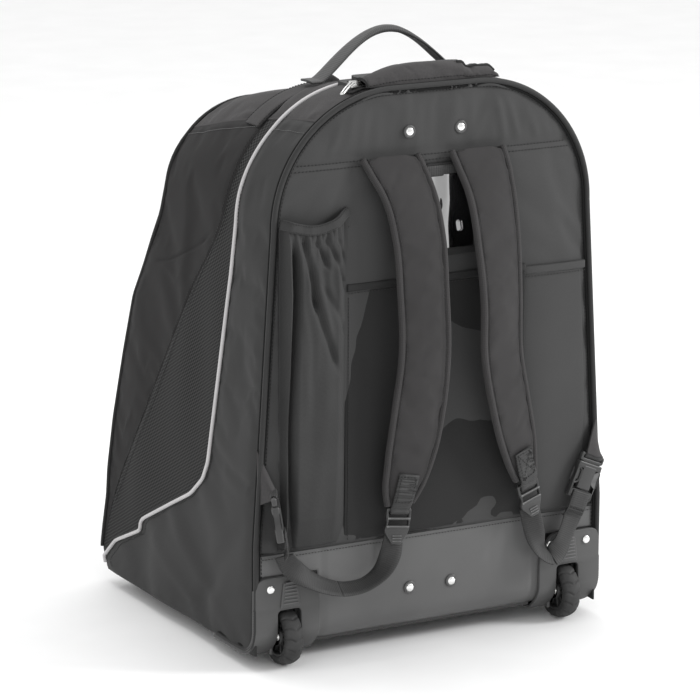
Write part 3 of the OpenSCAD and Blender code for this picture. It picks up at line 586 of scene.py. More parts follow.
def grid_mesh(name, p, material, uv=None, wrap_rows=False, wrap_cols=False, flip=False, keep=None, caps=False):
    """Quads over rows and columns of millimetre points, with UVs in metres."""
    rows, cols = p.shape[:2]
    if uv is None:
        q = np.concatenate([p, p[:, :1]], axis=1) if wrap_cols else p
        q = np.concatenate([q, q[:1]], axis=0) if wrap_rows else q
        across = np.linalg.norm(np.diff(q, axis=1), axis=2).mean(axis=0)
        down = np.linalg.norm(np.diff(q, axis=0), axis=2).mean(axis=1)
        u, v = np.r_[0, np.cumsum(across)] * MM, np.r_[0, np.cumsum(down)] * MM
        uv = np.stack(np.broadcast_arrays(u[None, :], v[:, None]), axis=2)
    r, c = np.meshgrid(np.arange(rows if wrap_rows else rows - 1), np.arange(cols if wrap_cols else cols - 1),
                       indexing="ij")
    if keep is not None:
        chosen = keep[r, c]
        r, c = r[chosen], c[chosen]
    r, c = r.ravel(), c.ravel()
    corners = [(r, c), (r, c + 1), (r + 1, c + 1), (r + 1, c)]
    if flip:
        corners.reverse()
    faces = np.stack([(a % rows) * cols + (b % cols) for a, b in corners], axis=1)
    loop_uv = np.stack([uv[a, b] for a, b in corners], axis=1)
    mesh = bpy.data.meshes.new(name)
    face_list = faces.tolist()
    if caps:
        first, last = list(range(cols)), [(rows - 1) * cols + k for k in range(cols)]
        face_list += [first, last[::-1]]
    mesh.from_pydata(place(p.reshape(-1, 3)).tolist(), [], face_list)
    layer = mesh.uv_layers.new(name="UVMap")
    flat = np.zeros((len(mesh.loops), 2), dtype=np.float32)
    flat[:loop_uv.shape[0] * 4] = loop_uv.reshape(-1, 2)
    layer.data.foreach_set("uv", flat.ravel())
    mesh.polygons.foreach_set("use_smooth", [True] * len(mesh.polygons))
    mesh.update()
    obj = link_mesh(name, mesh, material)
    if caps:
        tidy_normals(obj)
    return obj


def tidy_normals(obj):
    bm = bmesh.new()
    bm.from_mesh(obj.data)
    bmesh.ops.recalc_face_normals(bm, faces=bm.faces)
    bm.to_mesh(obj.data)
    bm.free()


def cloth_piece(name, sheet, material, body="bag", thick=2.0, replaces=(), uv=None, keep=None, held="stretched"):
    """A sheet made into a piece of fabric with real thickness, which grows inwards."""
    obj = grid_mesh(name, sheet.p, material, uv=uv, flip=sheet.side < 0, keep=keep)
    if held:
        declare_cut(sheet, keep)
    solid = obj.modifiers.new("thickness", "SOLIDIFY")
    solid.thickness = thick * MM
    solid.offset = -1
    finish_piece(obj, body, replaces)
    return obj


def declare_cut(sheet, keep):
    p = sheet.p * MM
    a, b = p[1:, 1:] - p[:-1, :-1], p[1:, :-1] - p[:-1, 1:]
    patches = np.linalg.norm(np.cross(a, b), axis=2) / 2
    if keep is not None:
        patches = patches * keep[:-1, :-1]


def finish_piece(obj, body, replaces=()):
    if body:
        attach(obj, body)
    if replaces:
        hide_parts(*replaces)


def frames(path, hint):
    """Tangents, sides and normals along a path; the normals lie as near to hint as they can."""
    t = unit(np.gradient(path, axis=0))
    side = unit(np.cross(np.broadcast_to(np.asarray(hint, float), t.shape), t))
    return t, side, np.cross(t, side)


def sweep(name, path, section, hint, material, body="bag", replaces=(), size=None, closed=False):
    """A section of (side, normal) points carried along a path."""
    path = np.asarray(path, float)
    _, side, up = frames(path, hint)
    s = np.asarray(section, float)
    size = np.ones((len(path), 2)) if size is None else np.asarray(size, float)
    p = (path[:, None] + side[:, None] * (s[None, :, :1] * size[:, None, :1])
         + up[:, None] * (s[None, :, 1:] * size[:, None, 1:]))
    obj = grid_mesh(name, p, material, wrap_cols=True, wrap_rows=closed, caps=not closed)
    if closed:
        tidy_normals(obj)
    finish_piece(obj, body, replaces)
    return obj


def ring(radius, flat=1.0, count=12):
    a = np.linspace(0, 2 * math.pi, count, endpoint=False)
    return np.stack([radius * np.cos(a), radius * flat * np.sin(a)], axis=1)


def strap_section(width, thick, dish=0.0):
    """Webbing: flat with rounded selvedges, and slightly dished if wanted."""
    w, h = width / 2, thick / 2
    xs = np.array([-w, -w + h, -w * 0.5, 0, w * 0.5, w - h, w])
    top = np.array([0, h, h, h, h, h, 0])
    bend = dish * (xs / w) ** 2
    upper = np.stack([xs, top + bend], axis=1)
    lower = np.stack([xs[::-1][1:-1], (-top + bend)[::-1][1:-1]], axis=1)
    return np.concatenate([upper, lower])


def join(name, objects):
    """Several meshes as one piece."""
    bm = bmesh.new()
    materials = []
    for obj in objects:
        for m in obj.data.materials:
            if m not in materials:
                materials.append(m)
        start = len(bm.faces)
        bm.from_mesh(obj.data)
        bm.faces.ensure_lookup_table()
        index = materials.index(obj.data.materials[0])
        for face in bm.faces[start:]:
            face.material_index = index
    mesh = bpy.data.meshes.new(name)
    bm.to_mesh(mesh)
    bm.free()
    for m in materials:
        mesh.materials.append(m)
    for obj in objects:
        bpy.data.objects.remove(obj)
    obj = bpy.data.objects.new(name, mesh)
    bpy.context.scene.collection.objects.link(obj)
    return obj


def stitches(name, runs, material="thread", body="bag", pitch=4.2, length=3.0, width=0.95, height=0.5):
    """Rows of sewing stitches, each a small rounded bar of thread that dips at its ends."""
    ends = [-1.0, -0.72, 0.0, 0.72, 1.0]
    girth = [0.25, 0.85, 1.0, 0.85, 0.25]
    dip = [-0.5, 0.1, 0.35, 0.1, -0.5]
    angle = np.linspace(0, 2 * math.pi, 6, endpoint=False)
    template = np.array([[e * length / 2, g * width / 2 * math.cos(a), height * (g * math.sin(a) * 0.8 + d)]
                         for e, g, d in zip(ends, girth, dip) for a in angle])
    quads = [[r * 6 + k, r * 6 + (k + 1) % 6, (r + 1) * 6 + (k + 1) % 6, (r + 1) * 6 + k]
             for r in range(4) for k in range(6)]
    verts, faces, count = [], [], 0
    for path, normal in runs:
        path = np.asarray(path, float)
        d = np.r_[0, np.cumsum(np.linalg.norm(np.diff(path, axis=0), axis=1))]
        spots = np.arange(pitch / 2, d[-1], pitch)
        if not len(spots):
            continue
        centre = np.stack([np.interp(spots, d, path[:, k]) for k in range(3)], axis=1)
        ahead = np.stack([np.interp(spots + 0.6, d, path[:, k]) - np.interp(spots - 0.6, d, path[:, k])
                          for k in range(3)], axis=1)
        normal = np.broadcast_to(np.asarray(normal, float), path.shape)
        n = unit(np.stack([np.interp(spots, d, normal[:, k]) for k in range(3)], axis=1))
        t = unit(ahead)
        s = unit(np.cross(n, t))
        n = np.cross(t, s)
        v = (centre[:, None] + t[:, None] * template[None, :, :1] + s[:, None] * template[None, :, 1:2]
             + n[:, None] * template[None, :, 2:])
        verts.append(v.reshape(-1, 3))
        for k in range(len(spots)):
            base = count + k * len(template)
            faces += [[base + q for q in quad] for quad in quads]
        count += len(spots) * len(template)
    mesh = bpy.data.meshes.new(name)
    mesh.from_pydata(place(np.concatenate(verts)).tolist(), [], faces)
    mesh.polygons.foreach_set("use_smooth", [True] * len(mesh.polygons))
    obj = link_mesh(name, mesh, material)
    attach(obj, body)
    return obj


def moulded(name, loops, depth, bevel, material, to_world, body=None, replaces=(), bend=None):
    """A plate with rounded edges, from an outline and its holes in the plate's own plane."""
    curve = bpy.data.curves.new(name, "CURVE")
    curve.dimensions = "2D"
    curve.fill_mode = "BOTH"
    curve.extrude = max(depth / 2 - bevel, 0)
    curve.bevel_depth = bevel
    curve.bevel_resolution = 2
    curve.offset = -bevel
    for loop in loops:
        spline = curve.splines.new("POLY")
        spline.points.add(len(loop) - 1)
        spline.points.foreach_set("co", np.array([[x, y, 0, 1] for x, y in loop], dtype=np.float32).ravel())
        spline.use_cyclic_u = True
    maker = bpy.data.objects.new(name + "_outline", curve)
    bpy.context.scene.collection.objects.link(maker)
    mesh = bpy.data.meshes.new_from_object(maker.evaluated_get(bpy.context.evaluated_depsgraph_get()))
    bpy.data.objects.remove(maker)
    co = np.zeros(len(mesh.vertices) * 3)
    mesh.vertices.foreach_get("co", co)
    co = co.reshape(-1, 3)
    if bend:
        co = bend(co)
    mesh.vertices.foreach_set("co", place(to_world(co)).ravel())
    mesh.materials.clear()
    obj = link_mesh(name, mesh, material)
    bm = bmesh.new()
    bm.from_mesh(mesh)
    bmesh.ops.remove_doubles(bm, verts=bm.verts, dist=1e-5)
    bmesh.ops.recalc_face_normals(bm, faces=bm.faces)
    bm.to_mesh(mesh)
    bm.free()
    mesh.polygons.foreach_set("use_smooth", [True] * len(mesh.polygons))
    mesh.set_sharp_from_angle(angle=math.radians(40))
    if body:
        finish_piece(obj, body, replaces)
    return obj


def rounded(points, radius, steps=5):
    """A polygon with its corners rounded; radius is one number or one for each corner."""
    pts = [np.array(p, float) for p in points]
    radii = [radius] * len(pts) if np.isscalar(radius) else radius
    out = []
    for i, p in enumerate(pts):
        a, b = pts[i - 1] - p, pts[(i + 1) % len(pts)] - p
        r = min(radii[i], 0.49 * np.linalg.norm(a), 0.49 * np.linalg.norm(b))
        if r <= 0.01:
            out.append(tuple(p))
            continue
        s, e = p + unit(a) * r, p + unit(b) * r
        for k in range(steps + 1):
            f = k / steps
            out.append(tuple((1 - f) ** 2 * s + 2 * f * (1 - f) * p + f * f * e))
    return out


def dense(loop, step):
    """The same outline with points no further than step apart."""
    p = np.array(loop, float)
    out = []
    for a, b in zip(p, np.roll(p, -1, axis=0)):
        count = max(1, int(math.ceil(np.linalg.norm(b - a) / step)))
        out += [tuple(a + (b - a) * k / count) for k in range(count)]
    return out


def rectangle(x0, y0, x1, y1, radius=0.0):
    return rounded([(x0, y0), (x1, y0), (x1, y1), (x0, y1)], radius)


def on_back(lift):
    """Plates that lie on the back panel: their face looks to -Y, their middle is lift mm in front."""
    return lambda co: np.stack([co[:, 0], -co[:, 2] - lift, co[:, 1]], axis=1)


def hung(at):
    """Plates that hang from a bar: moved to the bar, leaned about Y and turned about Z."""
    turn = Matrix.Rotation(math.radians(at[1]), 3, "Y") @ Matrix.Rotation(math.radians(at[2]), 3, "Z")
    turn = np.array(turn)

    def to_world(co):
        local = np.stack([co[:, 0], -co[:, 2], co[:, 1]], axis=1)
        return local @ turn.T + np.array(at[0], float)
    return to_world


def lathe(name, profile, centre, material, segments=96, body="bag", replaces=(), shape=None):
    """A round part about an axle along X; profile is a closed list of (x, radius)."""
    a = np.linspace(0, 2 * math.pi, segments, endpoint=False)
    prof = np.asarray(profile, float)
    x, r = np.broadcast_arrays(prof[None, :, 0], prof[None, :, 1])
    x, r = np.repeat(x, segments, 0), np.repeat(r, segments, 0)
    if shape:
        x, r = shape(a[:, None], x, r)
    p = np.stack([centre[0] + x, centre[1] + r * np.cos(a)[:, None], centre[2] + r * np.sin(a)[:, None]], axis=2)
    obj = grid_mesh(name, p, material, wrap_rows=True, wrap_cols=True)
    tidy_normals(obj)
    finish_piece(obj, body, replaces)
    return obj


# ------------------------------------------------------------------ cloth simulation


class Loom:
    """Runs every cloth simulation of the bag together, then hands the shapes back."""

    def __init__(self):
        self.jobs = []

    def add(self, obj, pins, pressure, grow, cap, stiffness=8.0, bending=0.6):
        self.jobs.append((obj, pins, pressure, grow, cap, stiffness, bending))

    def run(self, last=20):
        scene = bpy.context.scene
        before = []
        for obj, pins, pressure, grow, cap, stiffness, bending in self.jobs:
            group = obj.vertex_groups.new(name="pins")
            for index in np.nonzero(pins > 0)[0].tolist():
                group.add([index], float(pins[index]), "REPLACE")
            cloth = obj.modifiers.new("cloth", "CLOTH")
            s = cloth.settings
            s.quality = 6
            s.mass = 0.3
            s.tension_stiffness = s.compression_stiffness = stiffness
            s.shear_stiffness = stiffness * 0.6
            s.bending_stiffness = bending
            s.use_pressure = pressure != 0
            s.uniform_pressure_force = pressure
            s.shrink_min = -grow
            s.vertex_group_mass = "pins"
            s.effector_weights.gravity = 0
            s.air_damping = 2
            cloth.collision_settings.use_collision = False
            cloth.point_cache.frame_start, cloth.point_cache.frame_end = 1, last
            co = np.zeros(len(obj.data.vertices) * 3)
            obj.data.vertices.foreach_get("co", co)
            before.append(co.reshape(-1, 3))
        for frame_number in range(1, last + 1):
            scene.frame_set(frame_number)
        graph = bpy.context.evaluated_depsgraph_get()
        after = []
        for (obj, *_), start in zip(self.jobs, before):
            mesh = obj.evaluated_get(graph).to_mesh()
            co = np.zeros(len(mesh.vertices) * 3)
            mesh.vertices.foreach_get("co", co)
            after.append(co.reshape(-1, 3))
            obj.evaluated_get(graph).to_mesh_clear()
        for job, start, end in zip(self.jobs, before, after):
            obj, cap = job[0], job[4] * MM
            move = end - start
            far = np.linalg.norm(move, axis=1, keepdims=True)
            move *= cap * np.tanh(far / cap) / np.maximum(far, 1e-9)
            obj.modifiers.clear()
            obj.vertex_groups.clear()
            obj.data.vertices.foreach_set("co", (start + move).ravel())
            obj.data.update()
        scene.frame_set(1)


LOOM = Loom()
SETTLING = []


def settle(sheet, pressure=0.0, grow=0.02, cap=5.0, border=1, extra_pins=None, **kw):
    """Queues a sheet, sewn down round its border, to be let slack by the simulation."""
    rows, cols = sheet.p.shape[:2]
    pins = np.zeros((rows, cols))
    pins[:border], pins[-border:], pins[:, :border], pins[:, -border:] = 1, 1, 1, 1
    if extra_pins is not None:
        pins = np.maximum(pins, extra_pins)
    obj = grid_mesh("settling", sheet.p, None, flip=sheet.side < 0)
    LOOM.add(obj, pins.ravel(), pressure, grow, cap, **kw)
    SETTLING.append((sheet, obj))


def settle_all():
    if LOOM.jobs:
        LOOM.run()
    for sheet, obj in SETTLING:
        co = np.zeros(len(obj.data.vertices) * 3)
        obj.data.vertices.foreach_get("co", co)
        co = co.reshape(sheet.p.shape)
        co[..., 1] -= BACK_Y
        sheet.p = co / MM
        bpy.data.objects.remove(obj)


def remeshed(obj, voxel):
    """Even quads over a closed shape, ready to be simulated."""
    m = obj.modifiers.new("remesh", "REMESH")
    m.mode = "VOXEL"
    m.voxel_size = voxel * MM
    m.use_smooth_shade = True
    mesh = bpy.data.meshes.new_from_object(obj.evaluated_get(bpy.context.evaluated_depsgraph_get()))
    obj.modifiers.clear()
    old = obj.data
    obj.data = mesh
    bpy.data.meshes.remove(old)
    return obj


# ------------------------------------------------------------------ fabric shell


def side_point(y, z, x_sign):
    """Side wall at distance y forward and outline height z, on the left (-1) or right (1)."""
    y, z = np.broadcast_arrays(np.asarray(y, float), np.asarray(z, float))
    angle = np.arcsin(np.clip((z - SHOULDER_Z) / SHOULDER_R, 0, 1))
    r, sag = reach(angle, y)
    x = np.where(z <= SHOULDER_Z, half_width(z), ARC_X + r * np.cos(angle))
    high = np.where(z <= SHOULDER_Z, z, SHOULDER_Z + r * np.sin(angle) - sag)
    return np.stack([x_sign * x, y, high - fall(y, z)], axis=-1)


def seam_height(y):
    return 628 - 16 * np.clip(np.asarray(y, float) / 210, 0, 1)


def wall(line_a, line_b, z_low, x_sign, rows=110, cols=36):
    """Panel of a side wall between two seam lines, up to the side seam under the top panel."""
    t = np.linspace(0, 1, rows)[:, None]
    f = np.linspace(0, 1, cols)[None, :]
    z = z_low + (600 - z_low) * t
    a, b = line_a(z), line_b(z)
    y = a + (b - a) * f
    high = np.where(z <= 500, z, 500 + (seam_height(y) - 500) * (z - 500) / 100)
    sheet = Sheet(side_point(y, high, x_sign), side=x_sign)
    edge = np.minimum.reduce([y - a, b - y]) + 0 * z
    return sheet, y, high, edge


def back_edge(z):
    return np.full_like(np.asarray(z, float), -1.0)


def pipe_edge(z):
    return np.minimum(eased(PIPE_LINE, z, 5), eased(FRONT_LINE, z, 8))


def mesh_edge(z):
    return np.minimum(eased(MESH_LINE, z, 16), eased(FRONT_LINE, z, 8))


def front_edge(z):
    return eased(FRONT_LINE, z, 8)


def face_y(x, z, bulge=8.0):
    rise = np.clip((z - FLAP_BOTTOM) / (BODY_TOP - TOP_DROP - FLAP_INSET - FLAP_BOTTOM), 0, 1)
    return eased(FACE_LINE, z, 8) + bulge * (1 - (x / BODY_HALF) ** 2) * np.sin(math.pi * rise)


def build_walls():
    """Gussets, mesh panels and front side panels of both sides."""
    walls = {}
    for word, sign in (("left", -1), ("right", 1)):
        gusset, y, z, edge = wall(back_edge, pipe_edge, 18, sign, 130, 34)
        inside = smooth_step(edge, 0, 22)
        gusset.lift(1.5 * inside + 0.9 * inside * ripple(np.stack([y, z], -1), (60, 190), 3 + sign)
                    + inside * crease(y, z, (150, 40), (255, 92), 9, 1.6)
                    + inside * crease(y, z, (30, 160), (120, 60), 16, -1.3)
                    + inside * crease(y, z, (60, 30), (190, 120), 12, 1.4))
        settle(gusset, pressure=0.25, grow=0.006, cap=3.0)
        mesh, y2, z2, edge2 = wall(pipe_edge, mesh_edge, 34, sign, 110, 26)
        mesh.lift(1.2 * smooth_step(edge2, 0, 12) * ripple(np.stack([y2, z2], -1), (40, 120), 11))
        front, y3, z3, edge3 = wall(mesh_edge, front_edge, 56, sign, 120, 44)
        inner = smooth_step(edge3, 0, 14)
        front.lift(inner * (1.2 + 0.6 * ripple(np.stack([y3, z3], -1), (60, 130), 21 + sign))
                   + inner * crease(y3, z3, (270, 435), (166, 482), 2.4, -1.5, 0.12)
                   + inner * crease(y3, z3, (166, 482), (128, 503), 2.2, -1.2, 0.12)
                   + inner * crease(y3, z3, (205, 520), (210, 400), 12, 1.0)
                   + inner * crease(y3, z3, (300, 330), (240, 420), 14, 0.8))
        settle(front, pressure=0.15, grow=0.005, cap=2.0)
        walls[word] = (gusset, mesh, front)
    return walls


def arch_x(z, inset=0.0):
    """Half width of the back outline, drawn in square to its edge by inset."""
    z = np.asarray(z, float)
    leaning = half_width(np.minimum(z, SHOULDER_Z)) - inset
    arc = ARC_X + np.sqrt(np.clip((SHOULDER_R - inset) ** 2 - np.clip(z - SHOULDER_Z, 0, None) ** 2, 0, None))
    return np.where(z <= SHOULDER_Z, leaning, arc)


YOKE_Z = 584.0


def build_back():
    """The padded back panel; the yoke seam under the rivets is a groove in it."""
    inset = 3.0
    turn = np.linspace(0, 90, 34)[1:]
    z = np.r_[np.linspace(KICK_TOP, SHOULDER_Z, 84), SHOULDER_Z + (SHOULDER_R - inset) * np.sin(np.radians(turn))]
    f = np.linspace(-1, 1, 96)
    f = np.sign(f) * (1 - (1 - np.abs(f)) ** 1.25)
    x = arch_x(z, inset)[:, None] * f[None, :]
    zz = np.broadcast_to(z[:, None], x.shape)
    corner = np.hypot(np.clip(np.abs(x) - ARC_X, 0, None), np.clip(zz - SHOULDER_Z, 0, None))
    edge = np.where(zz > SHOULDER_Z, SHOULDER_R - inset - corner, half_width(zz) - inset - np.abs(x))
    crown = 3.2 * smooth_step(edge, -2, 26)
    yoke = np.exp(-((zz - YOKE_Z) / 2.2) ** 2) * smooth_step(edge, 0, 8)
    above = smooth_step(zz, YOKE_Z, YOKE_Z + 14) * smooth_step(edge, 4, 30)
    below = smooth_step(YOKE_Z - zz, 4, 60) * smooth_step(edge, 4, 30)
    spot = np.stack([x, zz], -1)
    out = crown - 2.0 * yoke
    out += above * (0.8 * ripple(spot, (16, 90), 5) + 0.5 * ripple(spot, (9, 60), 6))
    for at, lean, tall in ((-128, 6, 1.8), (-112, 4, 1.5), (-93, 3, 1.2), (88, -4, 2.2), (104, -6, 1.6),
                           (62, 10, 1.3), (128, -8, 1.2)):
        out += above * crease(x, zz, (at - lean, 590), (at + lean, 632), 5, tall)
    out += below * 0.7 * ripple(spot, (70, 120), 8)
    sheet = Sheet(np.stack([x, -out, zz], -1), side=1)
    settle(sheet, pressure=0.15, grow=0.004, cap=2.0, extra_pins=(np.abs(zz - YOKE_Z) < 4).astype(float))
    return sheet


def arc_height(z):
    return np.degrees(np.arcsin(np.clip((z - SHOULDER_Z) / SHOULDER_R, -1, 1)))


def top_point(angle, y, sign):
    """Top skin at an angle up the shoulder arc and distance y forward."""
    a, y = np.broadcast_arrays(np.radians(angle), np.asarray(y, float))
    r, sag = reach(a, y)
    return np.stack(np.broadcast_arrays(
        sign * (ARC_X + r * np.cos(a)), y,
        SHOULDER_Z + r * np.sin(a) - sag - TOP_DROP * np.clip(y / TOP_D, 0, 1) ** 2), axis=-1)


def top_sheet(y_from, y_to, rows=40, cols=110):
    """From the left side seam, up and over, to the right one; the flat middle is stretched between."""
    y = np.linspace(y_from, y_to, rows)[:, None]
    f = np.linspace(-1, 1, cols)[None, :]
    low = arc_height(seam_height(y))
    arc = (SHOULDER_R * np.radians(90 - low))
    total = arc + ARC_X
    s = np.abs(f) * total
    flat = np.minimum(s, ARC_X)
    angle = 90 - np.degrees(np.clip(s - ARC_X, 0, None) / SHOULDER_R)
    sign = np.sign(f) + (f == 0)
    p = top_point(angle, y + 0 * f, sign)
    p[..., 0] = np.where(s <= ARC_X, sign * flat, p[..., 0])
    return Sheet(p, side=1), np.broadcast_to(y, s.shape), s * sign, total - s


def build_top():
    top, y, s, edge = top_sheet(BAND_Y, TOP_D, 50, 130)
    rim = np.minimum.reduce([edge, y - BAND_Y + 0 * s, TOP_D - y])
    inner = smooth_step(rim, 0, 12)
    relief = inner * (0.5 + 0.9 * ripple(np.stack([s, y], -1), (70, 40), 31))
    for sign in (-1, 1):
        relief += inner * crease(s * sign, y, (150, 108), (196, 220), 7, 2.2)
        relief += inner * crease(s * sign, y, (150, 122), (180, 232), 6, -1.8)
        relief += inner * crease(s * sign, y, (168, 120), (200, 170), 6, 1.9)
        relief += inner * crease(s * sign, y, (120, 96), (176, 84), 7, 1.5)
        relief += inner * crease(s * sign, y, (120, 140), (140, 232), 9, 1.6)
    top.lift(relief)
    settle(top, pressure=0.3, grow=0.010, cap=3.0)
    band, yb, sb, eb = top_sheet(0, BAND_Y, 24, 130)
    rim = np.minimum.reduce([eb, yb + 0 * sb, BAND_Y - yb])
    inner = smooth_step(rim, 0, 10)
    relief = inner * (0.8 + 0.8 * ripple(np.stack([sb, yb], -1), (50, 34), 41))
    for sign in (-1, 1):
        relief += inner * crease(sb * sign, yb, (150, 20), (206, 50), 7, 1.8)
        relief += inner * crease(sb * sign, yb, (170, 12), (210, 22), 6, -1.5)
    band.lift(relief)
    settle(band, pressure=0.2, grow=0.008, cap=2.0)
    return top, band


def face_outline(inset, z_low, count):
    """Outline of the front face as x, z, from its lower left corner over the top."""
    rise = np.linspace(z_low, FACE_SHOULDER_Z, 40)
    left = [(-float(face_half(z, inset)), z) for z in rise]
    a = np.radians(np.linspace(0, 90, 24)[1:])
    r, sag = reach(a, TOP_D)
    keep = np.clip(1 - inset / FLAP_INSET, 0, 1)
    r = SHOULDER_R + (r - SHOULDER_R) * keep - inset
    left += list(zip(-ARC_X - r * np.cos(a), FACE_SHOULDER_Z + r * np.sin(a) - sag * keep))
    right = [(-x, z) for x, z in left[::-1]]
    return even(left + right, count)


def build_front():
    """Border of the front face, and the opening flap inside it."""
    count = 220
    outer, inner = face_outline(0, GROUND_GAP + 2, count), face_outline(FLAP_INSET - 5, FLAP_BOTTOM - 1, count)
    f = np.linspace(0, 1, 10)[None, :, None]
    p = outer[:, None] * (1 - f) + inner[:, None] * f
    y = face_y(p[..., 0], p[..., 1]) + 1.2 * np.sin(math.pi * f[..., 0]) + 1.0
    border = Sheet(np.stack([p[..., 0], y, p[..., 1]], -1), side=-1)
    z = np.linspace(FLAP_BOTTOM, BODY_TOP - TOP_DROP - FLAP_INSET, 100)[:, None]
    w = face_half(z, FLAP_INSET)
    g = np.linspace(-1, 1, 80)[None, :]
    x = w * g
    zz = z + 0 * x
    rim = np.minimum.reduce([w - np.abs(x), zz - FLAP_BOTTOM, BODY_TOP - TOP_DROP - FLAP_INSET - zz])
    soft = smooth_step(rim, 2, 26)
    relief = soft * (1.2 * ripple(np.stack([x, zz], -1), (90, 70), 51)
                     + crease(x, zz, (-150, 120), (-40, 330), 16, 2.0)
                     + crease(x, zz, (130, 160), (60, 420), 18, 1.8)
                     + crease(x, zz, (-60, 470), (70, 500), 16, -1.6))
    flap = Sheet(np.stack([x, face_y(x, zz) + 1.5 + relief, zz], -1), side=-1)
    settle(flap, pressure=0.25, grow=0.006, cap=2.5, border=2)
    return border, flap


def build_shell():
    walls = build_walls()
    back = build_back()
    top, band = build_top()
    border, flap = build_front()
    settle_all()
    line = np.linspace(0, 1, 160)
    runs, light_runs = [], []
    for word, (gusset, mesh, front) in walls.items():
        cloth_piece("gusset_" + word, gusset, "gusset_fabric", replaces=["side_gusset_" + word], thick=2.4)
        cloth_piece("mesh_" + word, mesh, "mesh_fabric", replaces=["mesh_panel_" + word], thick=2.0,
                    uv=mesh.p[..., 1:] * MM)
        cloth_piece("front_side_" + word, front, "front_fabric", replaces=["front_side_" + word], thick=2.4)
        sign = -1 if word == "left" else 1
        route = np.concatenate([
            top_point(np.linspace(90 - 9, arc_height(614), 18), BAND_Y + 0.0, sign),
            side_point(pipe_edge(np.linspace(608, 26, 150)), np.linspace(608, 26, 150), sign)])
        outward = np.stack([np.full(len(route), sign * 1.0), 0 * route[:, 0],
                            smooth_step(route[:, 2], 560, 650) * 1.6], -1)
        outward = unit(outward)
        route = route + outward * 1.6
        sweep("silver_piping_" + word, route, ring(2.3, count=10), outward, "reflective",
              replaces=["reflective_piping_" + word])
        sweep("silver_flange_" + word, route - outward * 1.6, strap_section(9, 1.0), outward, "binding")
        runs.append(gusset.at(line * 0.98 + 0.01, 0.0 * line + 0.955, 0.25))
        runs.append(mesh.at(line[10:] * 0.9 + 0.08, 0.0 * line[10:] + 0.94, 0.25))
        runs.append(front.at(line * 0.98 + 0.01, 0.0 * line + 0.03, 0.25))
        cols = np.linspace(0.02, 0.98, 60)
        light_runs.append(gusset.at(0 * cols + 0.985, cols, 0.3))
        light_runs.append(front.at(0 * cols + 0.988, cols, 0.3))
        wall_seam = side_point(np.linspace(-1, 246, 90), seam_height(np.linspace(-1, 246, 90)) + 1, sign)
        tilt = unit(np.stack([np.full(90, sign * 0.75), 0 * wall_seam[:, 1], np.full(90, 0.66)], -1))
        sweep("top_seam_" + word, wall_seam + tilt * 0.2, strap_section(3.4, 1.5), tilt, "canvas")
    cloth_piece("back", back, "back_fabric", replaces=["back_panel"], thick=5.0, held=None)
    cloth_piece("top", top, "canvas", replaces=["top_panel"], thick=2.4)
    rows, cols = band.p.shape[:2]
    keep = np.ones((rows, cols), bool) & (np.abs(np.linspace(-1, 1, cols))[None, :] > 0.30)
    cloth_piece("top_bands", band, "canvas", replaces=["top_band_left", "top_band_right"], thick=2.4, keep=keep)
    cloth_piece("front_edge_panel", border, "front_fabric", replaces=["front_border"], thick=2.4)
    cloth_piece("flap", flap, "front_fabric", body="front_flap", replaces=["front_flap"], thick=2.4)
    bottom_panel()
    stitches("seam_stitches", runs, material="dark_thread")
    stitches("top_seam_stitches", light_runs, material="thread", pitch=4.0)
    back_edges(back)
    front_edges(flap)


def bottom_panel():
    x = np.linspace(-226, 226, 60)[None, :]
    y = np.linspace(25, 380, 50)[:, None]
    p = np.stack(np.broadcast_arrays(x, y, 18 + 0.8 * ripple(np.stack(np.broadcast_arrays(x, y), -1), 60, 61)), -1)
    keep = ~((np.abs(x) > 143) & (y < 66))
    cloth_piece("underside", Sheet(p, side=-1), "front_fabric", replaces=["bottom_panel"], thick=2.0, keep=keep)


